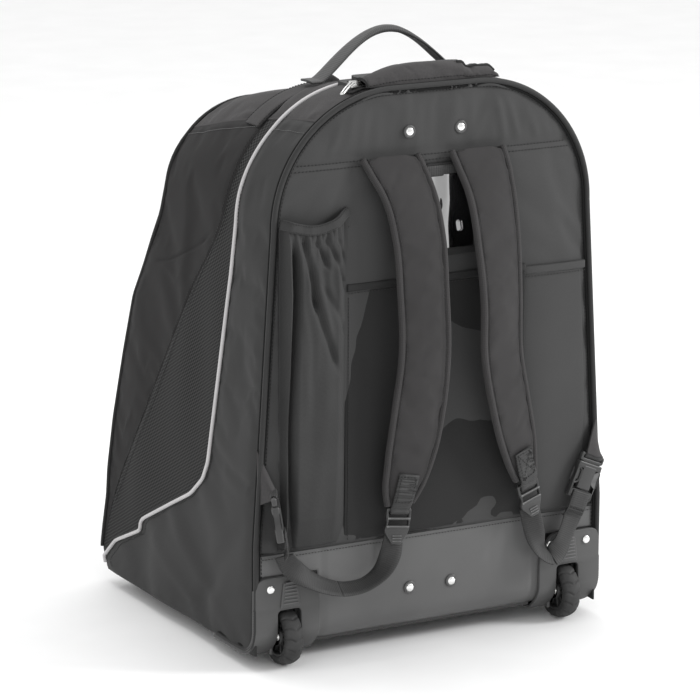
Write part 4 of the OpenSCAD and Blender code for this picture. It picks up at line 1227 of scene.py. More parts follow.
def back_edges(back):
    """The corded edge round the back panel, its flanges and their stitches, with near-black cords either side of the
    cord as painted shadow of its grooves.
    """
    z = np.linspace(70, SHOULDER_Z, 90)[:-1]
    a = np.radians(np.linspace(0, 90, 50))
    left = np.concatenate([
        np.stack([-half_width(z), z], -1),
        np.stack([-ARC_X - SHOULDER_R * np.cos(a), SHOULDER_Z + SHOULDER_R * np.sin(a)], -1)])
    right = left[::-1] * [-1, 1]
    flat = even(np.concatenate([left, right]), 420)
    path = np.stack([flat[:, 0], np.full(len(flat), -3.4), flat[:, 1]], -1)
    sweep("edge_cord", path, ring(3.1, count=14), (0, -1, 0), "piping", replaces=["back_piping"])
    centre = np.stack([np.clip(flat[:, 0], -ARC_X, ARC_X), np.minimum(flat[:, 1], SHOULDER_Z)], -1)
    inward = centre - flat
    inward = np.where(flat[:, 1:] < SHOULDER_Z, np.stack([-np.sign(flat[:, 0]), 0 * flat[:, 0]], -1), unit(inward))
    inner = flat + inward * 4.4
    path = np.stack([inner[:, 0], np.full(len(inner), -1.8), inner[:, 1]], -1)
    # painted shadow: a near-black cord inside the edge cord, standing for the shade in the groove there
    sweep("edge_groove_shade", path, ring(1.9, 0.8, 8), (0, -1, 0), "shadow_tape")
    inner = flat + inward * 7.4
    path = np.stack([inner[:, 0], np.full(len(inner), -2.1), inner[:, 1]], -1)
    runs = [(path, (0, -1, 0))]
    span = np.linspace(-1, 1, 120)
    for z_row, lift in ((YOKE_Z - 3.2, 0.3), (YOKE_Z - 9.5, 0.3)):
        x = span * (arch_x(z_row) - 10)
        rows = np.interp(z_row, back.p[:, 48, 2], np.linspace(0, 1, len(back.p)))
        cols = np.interp(x, back.p[int(rows * (len(back.p) - 1)), :, 0], np.linspace(0, 1, back.p.shape[1]))
        runs.append(back.at(0 * cols + rows, cols, lift))
    stitches("back_stitches", runs, material="dark_thread", pitch=4.4, width=1.1, height=0.7)
    out = flat - inward * 1.0
    path = np.stack([out[:, 0], np.full(len(out), 1.6), out[:, 1]], -1)
    flank = np.stack([-inward[:, 0], 0 * inward[:, 0], -inward[:, 1]], -1)
    # painted shadow: a near-black cord outside the edge cord, standing for the shade in the outer groove
    sweep("edge_groove_outer", path, ring(2.0, 0.8, 8), unit(flank), "shadow_tape")
    corner_edges()


def corner_edges():
    """The edge cord goes on round the foot of each gusset, with a line of light stitches beside it and a near-black
    cord inside it as painted shadow of its groove.
    """
    runs = []
    for sign in (-1, 1):
        turn = np.radians(np.linspace(0, 90, 24)[1:])
        y = np.r_[np.full(8, -3.4), 27 - 30.4 * np.cos(turn), np.linspace(30, 92, 20)]
        z = np.r_[np.linspace(74, 50, 8), 50 - 31 * np.sin(turn), np.full(20, 18.8)]
        path = resample(np.stack([np.full(len(y), sign * 229.6), y, z], -1), 90)
        sweep("corner_cord_%s" % ("left" if sign < 0 else "right"), path, ring(3.0, count=14), (sign, 0, 0), "piping")
        inner = path + [sign * 1.2, 0, 0]
        centre = np.array([0, 30, 52.0])
        inner[:, 1:] += unit(np.where(path[:, 1:2] > 30, [0.0, 1.0], centre[1:] - path[:, 1:])) * 4.6
        # painted shadow: a near-black cord inside the corner cord, standing for the shade in its groove
        sweep("corner_groove_shade_%s" % ("left" if sign < 0 else "right"), inner - [sign * 1.6, 0, 0], ring(1.7, 0.8, 8),
              (sign, 0, 0), "shadow_tape")
        runs.append((path + [sign * 2.9, -0.6, -0.4], (sign, 0, 0)))
    stitches("corner_stitches", runs, material="thread", pitch=3.0, length=1.9, width=1.0)


def front_edges(flap):
    """Corded edge of the front face, the zip round the flap, and the zip's teeth."""
    outline = face_outline(-1.0, 44, 360)
    path = np.stack([outline[:, 0], eased(FACE_LINE, outline[:, 1], 8) + 1.5, outline[:, 1]], -1)
    sweep("front_cord", path, ring(2.3, count=10), (0, 1, 0), "binding", replaces=["front_piping"])
    mid = face_outline(FLAP_INSET - 3, FLAP_BOTTOM - 1, 420)
    y = face_y(mid[:, 0], mid[:, 1]) + 1.4
    path = np.stack([mid[:, 0], y, mid[:, 1]], -1)
    sweep("zip_tape", path, strap_section(11, 1.0), (0, 1, 0), "zip_tape", replaces=["main_zip"])
    turned = unit(np.gradient(path, axis=0))
    across = unit(np.cross(turned, np.broadcast_to([0.0, 1.0, 0.0], turned.shape)))
    for k, shift in enumerate((-1.1, 1.1)):
        coil = path + across * shift + [0, 1.0, 0]
        stitches("zip_coil_%d" % k, [(coil, (0, 1, 0))], material="zip_teeth", pitch=2.0, length=1.3, width=2.6,
                 height=1.3)
    runs = []
    for inset in (FLAP_INSET - 10,):
        o = face_outline(inset, FLAP_BOTTOM - 6, 300)
        runs.append((np.stack([o[:, 0], face_y(o[:, 0], o[:, 1]) + 2.2, o[:, 1]], -1), (0, 1, 0)))
    stitches("zip_stitches", runs, material="dark_thread")
    o = face_outline(FLAP_INSET + 7, FLAP_BOTTOM + 7, 300)
    rows = (o[:, 1] - FLAP_BOTTOM) / (BODY_TOP - TOP_DROP - FLAP_INSET - FLAP_BOTTOM)
    cols = 0.5 + 0.5 * o[:, 0] / face_half(o[:, 1], FLAP_INSET)
    stitches("flap_stitches", [flap.at(rows, cols, 0.3)], material="dark_thread", body="front_flap")


# ------------------------------------------------------------------ kick panel and wheel corners


def kick_panel():
    """Sheet of moulded plastic, rounded under at its foot and bound along its top."""
    t = np.linspace(0, 1, 46)
    down = np.where(t < 0.8, KICK_TOP - t / 0.8 * 88, 49 - 28 * np.sin((t - 0.8) / 0.2 * math.pi / 2))
    under = np.where(t < 0.8, 0, 26 * (1 - np.cos((t - 0.8) / 0.2 * math.pi / 2)))
    x = np.linspace(-224, 224, 120)[None, :]
    z = down[:, None] + 0 * x
    y = -1.0 + under[:, None] - 2.2 * np.sin(math.pi * np.clip((KICK_TOP - z) / 116, 0, 1)) * (1 - (x / 240) ** 2)
    y = y - 0.5 * ripple(np.stack([x + 0 * z, z], -1), (70, 40), 71) * smooth_step(KICK_TOP - z, 4, 30)
    y = y + crease(x + 0 * z, z, (-78, 132), (-70, 104), 5, -0.9) + crease(x + 0 * z, z, (86, 130), (80, 92), 6, 0.8)
    for sign in (-1, 1):
        y = y + 2.4 * np.exp(-((x * sign - 143) / 2.2) ** 2)
    keep = ~((np.abs(x) > 150) & (z < 112))
    cloth_piece("kick_sheet", Sheet(np.stack([x + 0 * z, y, z], -1), side=-1), "kick_plastic",
                replaces=["kick_panel"], thick=2.0, keep=keep)
    span = np.linspace(-222, 222, 160)
    base = np.stack([span, np.full(160, -1.6), np.full(160, KICK_TOP + 0.5)], -1)
    sweep("kick_binding", base, strap_section(3.4, 2.0), (0, -1, 0), "binding")
    stitches("kick_stitches", [(base + [0, -1.6, -5.5], (0, -1, 0))], material="dark_thread", pitch=4.0)


HOUSING_IN, HOUSING_OUT, HOUSING_TOP = 148.0, 230.0, 110.0
WELL_TOP, TRACK_HALF = 70.0, 187.0


def wheel_housing(word, sign):
    def to_world(co):
        p = on_back(0)(co)
        p[:, 0] *= sign
        return p
    y_mid = 3.7

    def swept_under(p):
        """Brings the foot forward round the same curve as the kick panel."""
        turn = np.clip((46 - p[:, 2]) / 32, 0, 1) * math.pi / 2
        return p + np.stack([0 * turn, 22 * (1 - np.cos(turn)), 0 * turn], -1)
    plate_loop = (rounded([(HOUSING_IN + 16, HOUSING_TOP), (HOUSING_IN, HOUSING_TOP - 26), (HOUSING_IN, 14),
                           (TRACK_HALF - 15, 14), (TRACK_HALF - 15, WELL_TOP), (TRACK_HALF + 15, WELL_TOP),
                           (TRACK_HALF + 15, 14), (HOUSING_OUT + 1, 14), (HOUSING_OUT + 1, HOUSING_TOP)],
                          [9, 12, 3, 2, 6, 6, 2, 34, 15], 8))
    plate_loop = dense(plate_loop, 4.0)
    plate = moulded("housing_plate_" + word, [plate_loop], 5.6, 1.2, "housing_plastic",
                    lambda co: swept_under(to_world(co) + [0, -y_mid, 0]))
    ribbed = rounded([(TRACK_HALF - 13, WELL_TOP + 3), (TRACK_HALF + 13, WELL_TOP + 3),
                      (TRACK_HALF + 9, HOUSING_TOP - 7), (TRACK_HALF - 9, HOUSING_TOP - 7)], 3, 5)
    panel = moulded("housing_raised_" + word, [ribbed], 3, 1.0, "housing_plastic",
                    lambda co: to_world(co) + [0, -7.2, 0])
    ribs = []
    for k in range(7):
        z = WELL_TOP + 7 + k * 4.1
        w = 9.5 - k * 0.45
        rib = rounded([(TRACK_HALF - w, z), (TRACK_HALF + w, z), (TRACK_HALF + w, z + 1.9),
                       (TRACK_HALF - w, z + 1.9)], 0.9, 3)
        ribs.append(moulded("rib_%s_%d" % (word, k), [rib], 2.6, 0.6, "housing_plastic",
                            lambda co: to_world(co) + [0, -8.4, 0]))
    well_rim = rounded([(TRACK_HALF - 18, 14), (TRACK_HALF - 18, WELL_TOP + 4), (TRACK_HALF + 18, WELL_TOP + 4),
                        (TRACK_HALF + 18, 14), (TRACK_HALF + 14.2, 14), (TRACK_HALF + 14.2, WELL_TOP),
                        (TRACK_HALF - 14.2, WELL_TOP), (TRACK_HALF - 14.2, 14)], [1, 5, 5, 1, 1, 4, 4, 1], 5)
    box = moulded("housing_box_" + word, [well_rim], 50, 0.8, "housing_plastic",
                  lambda co: to_world(co) + [0, 33, 0])
    back_wall = moulded("housing_back_" + word, [rectangle(TRACK_HALF - 17, 14, TRACK_HALF + 17, WELL_TOP + 3, 3)],
                        3, 0.6, "housing_plastic", lambda co: to_world(co) + [0, 56, 0])

    def flank_world(co):
        return np.stack([sign * (HOUSING_OUT + 0.2 + co[:, 2]), co[:, 0] - 6.0, co[:, 1]], axis=1)
    turn = np.radians(np.linspace(0, 90, 14))
    flank_loop = ([(1.0, 96)] + [(37 - 36 * math.cos(a), 50 - 36 * math.sin(a)) for a in turn] + [(104, 14), (103, 19)]
                  + [(37 - 30 * math.cos(a), 50 - 30.5 * math.sin(a)) for a in turn[::-1]] + [(6.5, 96)])
    flank = moulded("housing_flank_" + word, [flank_loop], 3.4, 0.8, "housing_plastic", flank_world)

    def sole_world(co):
        return np.stack([sign * co[:, 0], co[:, 1], 15.8 + co[:, 2]], axis=1)
    sole_loop = [(HOUSING_IN, 16), (TRACK_HALF - 15, 16), (TRACK_HALF - 15, 58), (TRACK_HALF + 15, 58),
                 (TRACK_HALF + 15, 16), (HOUSING_OUT - 4, 24), (HOUSING_OUT - 2, 88), (HOUSING_IN, 88)]
    sole = moulded("housing_sole_" + word, [rounded(sole_loop, [3, 2, 2, 2, 2, 5, 8, 8], 4)], 3.6, 0.8,
                   "housing_plastic", sole_world)
    piece = join("wheel_corner_" + word, [plate, panel, box, back_wall, flank, sole] + ribs)
    piece.data.polygons.foreach_set("use_smooth", [True] * len(piece.data.polygons))
    piece.data.set_sharp_from_angle(angle=math.radians(40))
    finish_piece(piece, "bag", ["wheel_housing_" + word])


def wheel(word, sign):
    centre = (sign * TRACK_HALF, 10.6, 34.5)
    cross = np.linspace(-math.pi / 2, math.pi / 2, 25)
    outer = np.stack([10.6 * np.sin(cross), 24.6 + 8.6 * np.cos(cross) ** 0.62], -1)
    inner = np.array([(9.6, 23.4), (3, 22.9), (-3, 22.9), (-9.6, 23.4)])
    profile = np.concatenate([outer, inner])

    def tread(a, x, r):
        wave = (a * 16 / (2 * math.pi) + 0.42 * np.sin(x / 10.6 * 1.5) * np.sign(x)) % 1.0
        groove = np.exp(-(np.minimum(wave, 1 - wave) / 0.085) ** 2)
        centre_line = np.exp(-(x / 1.3) ** 2)
        out = smooth_step(r, 26.5, 31)
        lug = smooth_step(np.abs(x), 6.5, 8.6) * smooth_step(r, 25, 28) * (1 - groove)
        r = r + 1.1 * out - out * (1.5 * groove * (1 - centre_line))
        return x + np.sign(x) * 0.7 * lug, np.minimum(r, 34.4)
    lathe("tyre_tread_" + word, profile, centre, "tread", 320, "wheel_" + word, ["tyre_" + word], tread)
    rim = np.array([(-8.5, 22.6), (8.5, 22.6), (9.4, 23.8), (10.0, 23.2), (9.2, 20.6), (5, 19.8), (-5, 19.8),
                    (-9.2, 20.6), (-10.0, 23.2), (-9.4, 23.8)])
    lathe("rim_" + word, rim, centre, "hub_plastic", 96, "wheel_" + word)
    parts = []
    for k in range(10):
        turn = 2 * math.pi * k / 10

        def spoke_world(co, turn=turn):
            r, w = co[:, 1], co[:, 0]
            return np.stack([centre[0] + co[:, 2], centre[1] + r * math.cos(turn) - w * math.sin(turn),
                             centre[2] + r * math.sin(turn) + w * math.cos(turn)], axis=1)
        loop = rounded([(-1.8, 9), (1.8, 9), (1.3, 21.5), (-1.3, 21.5)], 0.6, 2)
        parts.append(moulded("spoke_%s_%d" % (word, k), [loop], 13, 0.7, "hub_plastic", spoke_world))
    spokes = join("spokes_" + word, parts)
    finish_piece(spokes, "wheel_" + word, ["hub_" + word])
    core = np.array([(-9.4, 11.2), (9.4, 11.2), (9.8, 10.4), (8.0, 9.6), (-8.0, 9.6), (-9.8, 10.4)])
    lathe("hub_core_" + word, core, centre, "hub_plastic", 64, "wheel_" + word)
    for node_name in ("wheel_bearings_" + word,):
        bevel_node(node_name, 0.35)
    for end in (-1, 1):
        nut = np.array([(0, 0.01), (2.6, 0.01), (3.0, 2.6), (2.4, 5.4), (0.2, 6.2), (0, 6.0)]) * [end, 1]
        spot = (centre[0] + end * 16.4, centre[1], centre[2])
        lathe("axle_cap_%s_%s" % (word, "in" if end == -sign else "out"), nut, spot, "rivet_metal", 32, "bag")


def bevel_node(name, width, segments=2, angle=32):
    obj = frame["nodes"][name]
    bevel = obj.modifiers.new("bevel", "BEVEL")
    bevel.width = width * MM
    bevel.segments = segments
    bevel.limit_method = "ANGLE"
    bevel.angle_limit = math.radians(angle)
    bevel.harden_normals = True


def rivet(name, x, z, y, washer):
    profile = []
    for r, h in ((0.01, 2.6), (2.2, 2.5), (3.9, 2.1), (4.9, 1.2), (5.2, 0.2), (5.2, -0.6), (0.01, -0.6)):
        profile.append((r, h))
    segments = 36
    a = np.linspace(0, 2 * math.pi, segments, endpoint=False)
    prof = np.array(profile)
    p = np.stack(np.broadcast_arrays(x + prof[:, None, 0] * np.cos(a), y - prof[:, None, 1] + 0 * a,
                                     z + prof[:, None, 0] * np.sin(a)), -1)
    cap = grid_mesh(name, p, "rivet_metal", wrap_cols=True)
    tidy_normals(cap)
    made = [cap]
    if washer:
        prof = np.array([(4.6, 0.9), (6.6, 0.9), (7.4, 0.5), (7.6, -0.4), (4.6, -0.4)])
        p = np.stack(np.broadcast_arrays(x + prof[:, None, 0] * np.cos(a), y - prof[:, None, 1] + 0 * a,
                                         z + prof[:, None, 0] * np.sin(a)), -1)
        disc = grid_mesh(name + "_washer", p, "hardware_plastic", wrap_cols=True, wrap_rows=True)
        tidy_normals(disc)
        made.append(disc)
    return made


def rivets():
    made = []
    for k, (x, z) in enumerate(((-33.5, 609), (33.5, 609))):
        made += rivet("rivet_top_%d" % k, x, z, -4.2, True)
    for k, (x, z) in enumerate(((-28, 72), (28, 72))):
        made += rivet("rivet_low_%d" % k, x, z, -4.0, True)
    piece = join("panel_rivets", made)
    piece.data.polygons.foreach_set("use_smooth", [True] * len(piece.data.polygons))
    finish_piece(piece, "bag", ["back_rivets"])
    made = []
    for sign in (-1, 1):
        for x in (162, 212):
            made += rivet("rivet_corner_%d_%d" % (sign, x), sign * x, 97, -6.6, False)
    piece = join("corner_rivets", made)
    piece.data.polygons.foreach_set("use_smooth", [True] * len(piece.data.polygons))
    finish_piece(piece, "bag", ["housing_rivets"])


# ------------------------------------------------------------------ pockets and window


def pocket_rim(f):
    """Height of the pocket's mouth, f across it."""
    return 515 - 10 * np.sin(math.pi * np.clip(f, 0, 1)) ** 1.2 + 6 * f ** 2


def bottle_pocket():
    """Gathered pocket with an elastic edge that dips between its two ends."""
    x0, x1, low = -200.0, -112.0, 141.0
    f = np.linspace(0, 1, 150)[None, :]
    t = np.linspace(0, 1, 170)[:, None]
    rim = pocket_rim(f)
    z = low + (rim - low) * t
    x = x0 + (x1 - x0) * f + 0 * t
    stand = np.interp(z, [141, 175, 240, 330, 440, 480, 520], [3, 12, 17, 20, 21, 17, 12])
    out = stand * smooth_step(f, 0.0, 0.07) * smooth_step(1 - f, 0.0, 0.26)
    drop = rim - z
    wander = 0.35 * ripple(np.stack([x, z * 0.5], -1), 26, 81)
    scallop = np.abs(np.sin(math.pi * (13 * f + wander))) ** 0.6
    out = out - 2.6 * (1 - scallop) * np.exp(-drop / 13) * np.sin(math.pi * f) ** 0.3
    out = out + 1.5 * np.sin(2 * math.pi * (6.5 * f + wander - drop / 260)) * np.exp(-drop / 60) * smooth_step(drop, 0, 12)
    bent = x - 26 * smooth_step(drop, 10, 150) * f
    inside = smooth_step(f, 0.02, 0.08) * smooth_step(1 - f, 0.0, 0.1)
    out = out - smooth_step(drop, 8, 40) * 15 * np.exp(-((x + 188.5 - 2.5 * np.sin(z / 60)) / 3.6) ** 2)
    out = out + inside * (crease(x, z, (-174, 496), (-163, 428), 3.8, -6.5, 0.2)
                          + crease(x, z, (-163, 428), (-138, 360), 4.6, -6.0, 0.3)
                          + crease(x, z, (-157, 492), (-147, 470), 2.8, -4.6, 0.3)
                          + crease(x, z, (-142, 490), (-117, 440), 3.2, -4.6, 0.25)
                          + crease(x, z, (-128, 492), (-116, 468), 2.6, -3.8, 0.3)
                          + crease(x, z, (-150, 440), (-122, 395), 4.0, -2.6, 0.3)
                          + crease(x, z, (-163, 470), (-146, 398), 5.5, 2.2, 0.3)
                          + crease(x, z, (-180, 470), (-174, 330), 6.0, 2.0, 0.3)
                          + crease(x, z, (-150, 330), (-158, 200), 10, 1.6, 0.3)
                          + 0.9 * ripple(np.stack([bent, z], -1), (16, 90), 83))
    sheet = Sheet(np.stack([x, -3.4 - np.maximum(out, 0.3), z], -1), side=1)
    cloth_piece("bottle_pocket_cloth", sheet, "pocket_fabric", replaces=["bottle_pocket"], thick=1.2,
                held="gathered")
    cols = np.linspace(0, 1, 90)
    reach = np.interp(cols, f[0], sheet.p[-3, :, 1])
    smooth_reach = np.convolve(np.pad(reach, 6, mode="edge"), np.ones(13) / 13, mode="valid")
    top = np.stack([x0 + (x1 - x0) * cols, smooth_reach - 0.8, pocket_rim(cols) + 4], -1)
    top[:, 1] = np.maximum(top[:, 1], -19)
    sweep("pocket_elastic", top, strap_section(12, 2.4), (0, -1, 0.06), "pocket_fabric")
    rows = [(top + [0, -1.4, -4.6], (0, -1, 0)), (top + [0, -1.4, 4.6], (0, -1, 0))]
    stitches("pocket_stitches", rows, material="dark_thread", pitch=3.4, length=2.2)
    side = np.linspace(low, 508, 90)
    hem = np.stack([np.full(90, x1 + 1.0), np.full(90, -3.2), side], -1)
    sweep("pocket_hem", hem, strap_section(3, 1.6), (0, -1, 0), "dark_thread")


def flat_panels():
    """Second layer between the bottle pocket and the straps, darkened as painted shade of the straps, and the slip
    pocket on the right.
    """
    x = np.linspace(-116, 122, 120)[None, :]
    z = np.linspace(140, 438, 90)[:, None]
    stand = 1.6 + 0.7 * ripple(np.stack(np.broadcast_arrays(x, z), -1), (60, 110), 91)
    stand = stand * smooth_step(z, 138, 150) + 0 * x
    sheet = Sheet(np.stack(np.broadcast_arrays(x, -3.6 - stand, z), -1), side=1)
    # painted shade: the middle panel's darker fabric stands for the shadow between the straps
    cloth_piece("middle_panel", sheet, "painted_shade_fabric", thick=1.4)
    hem_line = np.linspace(-114, 122, 100)
    path = np.stack([hem_line, np.full(100, -5.4), np.full(100, 437)], -1)
    sweep("middle_hem", path, strap_section(9, 2.4), (0, -1, 0), "binding")
    runs = [(path + [0, -1.4, -6], (0, -1, 0))]
    x = np.linspace(121, 207, 60)[None, :]
    z = np.linspace(140, 432, 80)[:, None]
    f = (x - 121) / 86
    stand = np.interp(z, [140, 170, 432], [0.6, 3.2, 3.8]) * np.sin(math.pi * np.clip(f, 0, 1)) ** 0.4
    stand = stand + 0.8 * ripple(np.stack(np.broadcast_arrays(x, z), -1), (50, 120), 95) * smooth_step(z, 140, 190)
    edge = half_width(z) - 14
    sheet = Sheet(np.stack(np.broadcast_arrays(np.minimum(x, edge), -3.4 - np.maximum(stand, 0.2), z), -1), side=1)
    cloth_piece("slip_pocket_cloth", sheet, "back_fabric", replaces=["slip_pocket"], thick=1.4)
    hem_line = np.linspace(121, 203, 60)
    path = np.stack([hem_line, -3.4 - 3.8 * np.sin(math.pi * (hem_line - 121) / 84) ** 0.4, np.full(60, 433)], -1)
    sweep("slip_hem", path, strap_section(10, 2.6), (0, -1, 0), "back_fabric")
    runs.append((path + [0, -1.4, -7], (0, -1, 0)))
    seam = np.stack([np.full(60, 121.0), np.full(60, -5.0), np.linspace(141, 430, 60)], -1)
    runs.append((seam, (0, -1, 0)))
    seam = np.stack([np.full(60, -112.0), np.full(60, -6.0), np.linspace(141, 428, 60)], -1)
    runs.append((seam, (0, -1, 0)))
    stitches("panel_stitches", runs, material="dark_thread")


def id_holder():
    outer = rectangle(-14, 462, 60, 570, 5)
    inner = rectangle(-6, 470, 52, 556, 3)
    moulded("window_frame", [outer, inner], 3.2, 0.9, "binding", on_back(5.2), "bag", ["id_frame"])
    x = np.linspace(-6, 52, 90)[None, :]
    z = np.linspace(470, 557, 90)[:, None]
    lift = 4.4 * smooth_step(z, 484, 530)
    y = -4.6 - lift * (smooth_step(x, -2 + (560 - z) * 0.12, 14) - smooth_step(x, 34, 52))
    y = y - 0.2 * np.sin(x / 4 + 0.02 * z) + crease(x, z, (32, 500), (34, 491), 2.6, -2.2, 0.3)
    sheet = Sheet(np.stack(np.broadcast_arrays(x, y, z), -1), side=1)
    obj = grid_mesh("window_film", sheet.p, "vinyl")
    finish_piece(obj, "bag", ["id_window"])
    x = np.linspace(-8, 54, 30)[None, :]
    z = np.linspace(468, 558, 30)[:, None]
    card = Sheet(np.stack(np.broadcast_arrays(x, -3.8 + 0 * x * z, z), -1), side=1)
    cloth_piece("window_backing", card, "zip_tape", thick=0.8)
    strip = np.stack([np.linspace(-13, 59, 40), np.full(40, -7.4), np.full(40, 561.5)], -1)
    sweep("window_strip", strip, strap_section(13, 1.6), (0, -1, 0), "webbing_soft")


# ------------------------------------------------------------------ shoulder straps

PAD_LEFT = [(-62, -9, 584, 78, 0), (-54, -14, 566, 76, 0), (-44, -22, 540, 70, -2), (-34, -30, 487, 65, -5),
            (-31, -34, 430, 63, -7), (-28, -34, 360, 63, -8), (-34, -31, 290, 66, -8), (-42, -26, 232, 62, -6),
            (-49, -22, 196, 50, -4), (-52, -20, 180, 38, -2)]
PAD_RIGHT = [(52, -9, 584, 74, 0), (57, -14, 566, 72, 0), (62, -22, 540, 68, 4), (70, -30, 470, 64, 8),
             (73, -34, 410, 62, 12), (75, -34, 345, 62, 12), (88, -31, 285, 62, 12), (103, -26, 232, 56, 12),
             (112, -22, 202, 44, 12), (117, -20, 188, 36, 12)]
LOCK_LEFT = ((-53, -20, 172), 8, 0)
LOCK_RIGHT = ((120, -20, 180), -13, 12)
BUCKLE_LEFT = ((-216, -22, 212), -10, 62)
BUCKLE_RIGHT = ((214, -14, 200), 23, 0)
LOOP_LEFT = [(-57, -16.4, 143), (-62, -18, 122), (-74, -21, 104), (-94, -22, 92), (-120, -22, 89),
             (-148, -22, 96), (-174, -22, 110), (-194, -22, 126), (-203, -22, 140)]
LOOP_RIGHT = [(127, -14.2, 150), (131, -17, 128), (136, -20, 108), (144, -20, 94), (155, -21, 88),
              (166, -20, 96), (176, -18, 112), (184, -17, 128), (189, -16, 138)]


def pad_frame(route, count):
    """Centres, half widths, cross directions and outward directions down a pad."""
    r = resample(route, count)
    turn = np.radians(r[:, 4])
    cross = np.stack([np.cos(turn), np.sin(turn), 0 * turn], -1)
    t = unit(np.gradient(r[:, :3], axis=0))
    out = unit(np.cross(cross, t))
    out *= np.where(out[:, 1:2] > 0, -1, 1)
    return r[:, :3], r[:, 3] / 2, cross, out


def pad_body(word, route):
    """The padding of a strap, swollen by simulation where it isn't held by its bound edges."""
    c, w, cross, out = pad_frame(route, 110)
    a = np.linspace(0, 2 * math.pi, 40, endpoint=False)
    u = np.sign(np.cos(a)) * np.abs(np.cos(a)) ** 0.55
    v = np.sign(np.sin(a)) * np.abs(np.sin(a)) ** 0.8
    thick = 4.4
    p = (c[:, None] + cross[:, None] * (u[None, :, None] * (w[:, None, None] - 2.5))
         + out[:, None] * (v[None, :, None] * thick))
    obj = grid_mesh("pad_" + word, p, "canvas_strap", wrap_cols=True, caps=True)
    remeshed(obj, 5.0)
    co = np.zeros(len(obj.data.vertices) * 3)
    obj.data.vertices.foreach_get("co", co)
    co = co.reshape(-1, 3) / MM
    co[:, 1] -= BACK_Y / MM
    near = np.argmin(((co[:, None, :] - c[None, ::3]) ** 2).sum(-1), axis=1) * 3
    off = np.abs(((co - c[near]) * cross[near]).sum(-1))
    pins = (off > w[near] - 7.5).astype(float)
    pins = np.maximum(pins, (near < 5).astype(float))
    pins = np.maximum(pins, (near > 104).astype(float))
    LOOM.add(obj, pins, 4.0, 0.012, 5.0, 10.0, 0.8)
    return obj


def strap(word, route, lock):
    body = "strap_" + word
    c, w, cross, out = pad_frame(route, 130)
    runs = []
    for side in (-1, 1):
        edge = c + cross * ((w - 3.2) * side)[:, None] + out * (0.4 if side < 0 else -0.6)
        a = np.linspace(0, 2 * math.pi, 16, endpoint=False)
        section = np.stack([3.6 * np.sign(np.cos(a)) * np.abs(np.cos(a)) ** 0.8,
                            4.4 * np.sign(np.sin(a)) * np.abs(np.sin(a)) ** 0.9], -1)
        sweep("pad_binding_%s_%s" % (word, "l" if side < 0 else "r"), edge, section, out, "canvas_strap", body=body)
        line = c + cross * ((w - 7.6) * side)[:, None] + out * 4.9
        runs.append((line, out))
    foot = hung(lock)
    up = np.linspace(-2, 46, 40)
    path = foot(np.stack([0 * up, up, 3.4 + 3.6 * smooth_step(up, 0, 14) - 2.2 * (1 - smooth_step(up, -2, 6))], -1))
    near_pad = np.array([np.argmin(np.abs(c[:, 2] - z)) for z in path[:, 2]])
    on_pad = c[near_pad] + out[near_pad] * 7.4
    share = smooth_step(up, 6, 22)[:, None]
    path = path * (1 - share) + on_pad * share
    normal = unit(out[near_pad])
    sweep("pad_webbing_" + word, path, strap_section(26, 2.0), normal, "webbing", body=body)
    _, s, n = frames(path, normal)
    box_in, box_out = 12, 37
    a, b = path[box_in] + n[box_in] * 1.3, path[box_out] + n[box_out] * 1.3
    s_in, s_out = s[box_in] * 9.5, s[box_out] * 9.5
    span = np.linspace(0, 1, 14)[:, None]
    nn = n[24]
    edges = [(a - s_in, a + s_in), (b - s_out, b + s_out), (a - s_in, b - s_out), (a + s_in, b + s_out)]
    if word == "right":
        edges += [(a - s_in, b + s_out), (a + s_in, b - s_out)]
    box = [(p0 * (1 - span) + p1 * span, nn) for p0, p1 in edges]
    stitches("pad_stitches_" + word, runs + box, material="dark_thread", body=body, pitch=4.2, width=1.1)
    wrap = foot(np.stack([0 * np.linspace(0, 1, 24),
                          3.6 * np.cos(np.linspace(0, 2 * math.pi, 24)),
                          3.6 * np.sin(np.linspace(0, 2 * math.pi, 24))], -1))
    ringp = wrap[:-1]
    hint = unit(ringp - foot(np.array([[0.0, 0, 0]]))[0])
    sweep("pad_fold_" + word, ringp, strap_section(25, 1.6), hint, "webbing", body=body, closed=True)


def finish_pads(pads):
    for word, obj in pads.items():
        sub = obj.modifiers.new("smooth", "SUBSURF")
        sub.levels = sub.render_levels = 1
        obj.data.materials.clear()
        obj.data.materials.append(MATERIALS["canvas_strap"])
        obj.data.polygons.foreach_set("use_smooth", [True] * len(obj.data.polygons))
        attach(obj, "strap_" + word)
        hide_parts("strap_pad_" + word)


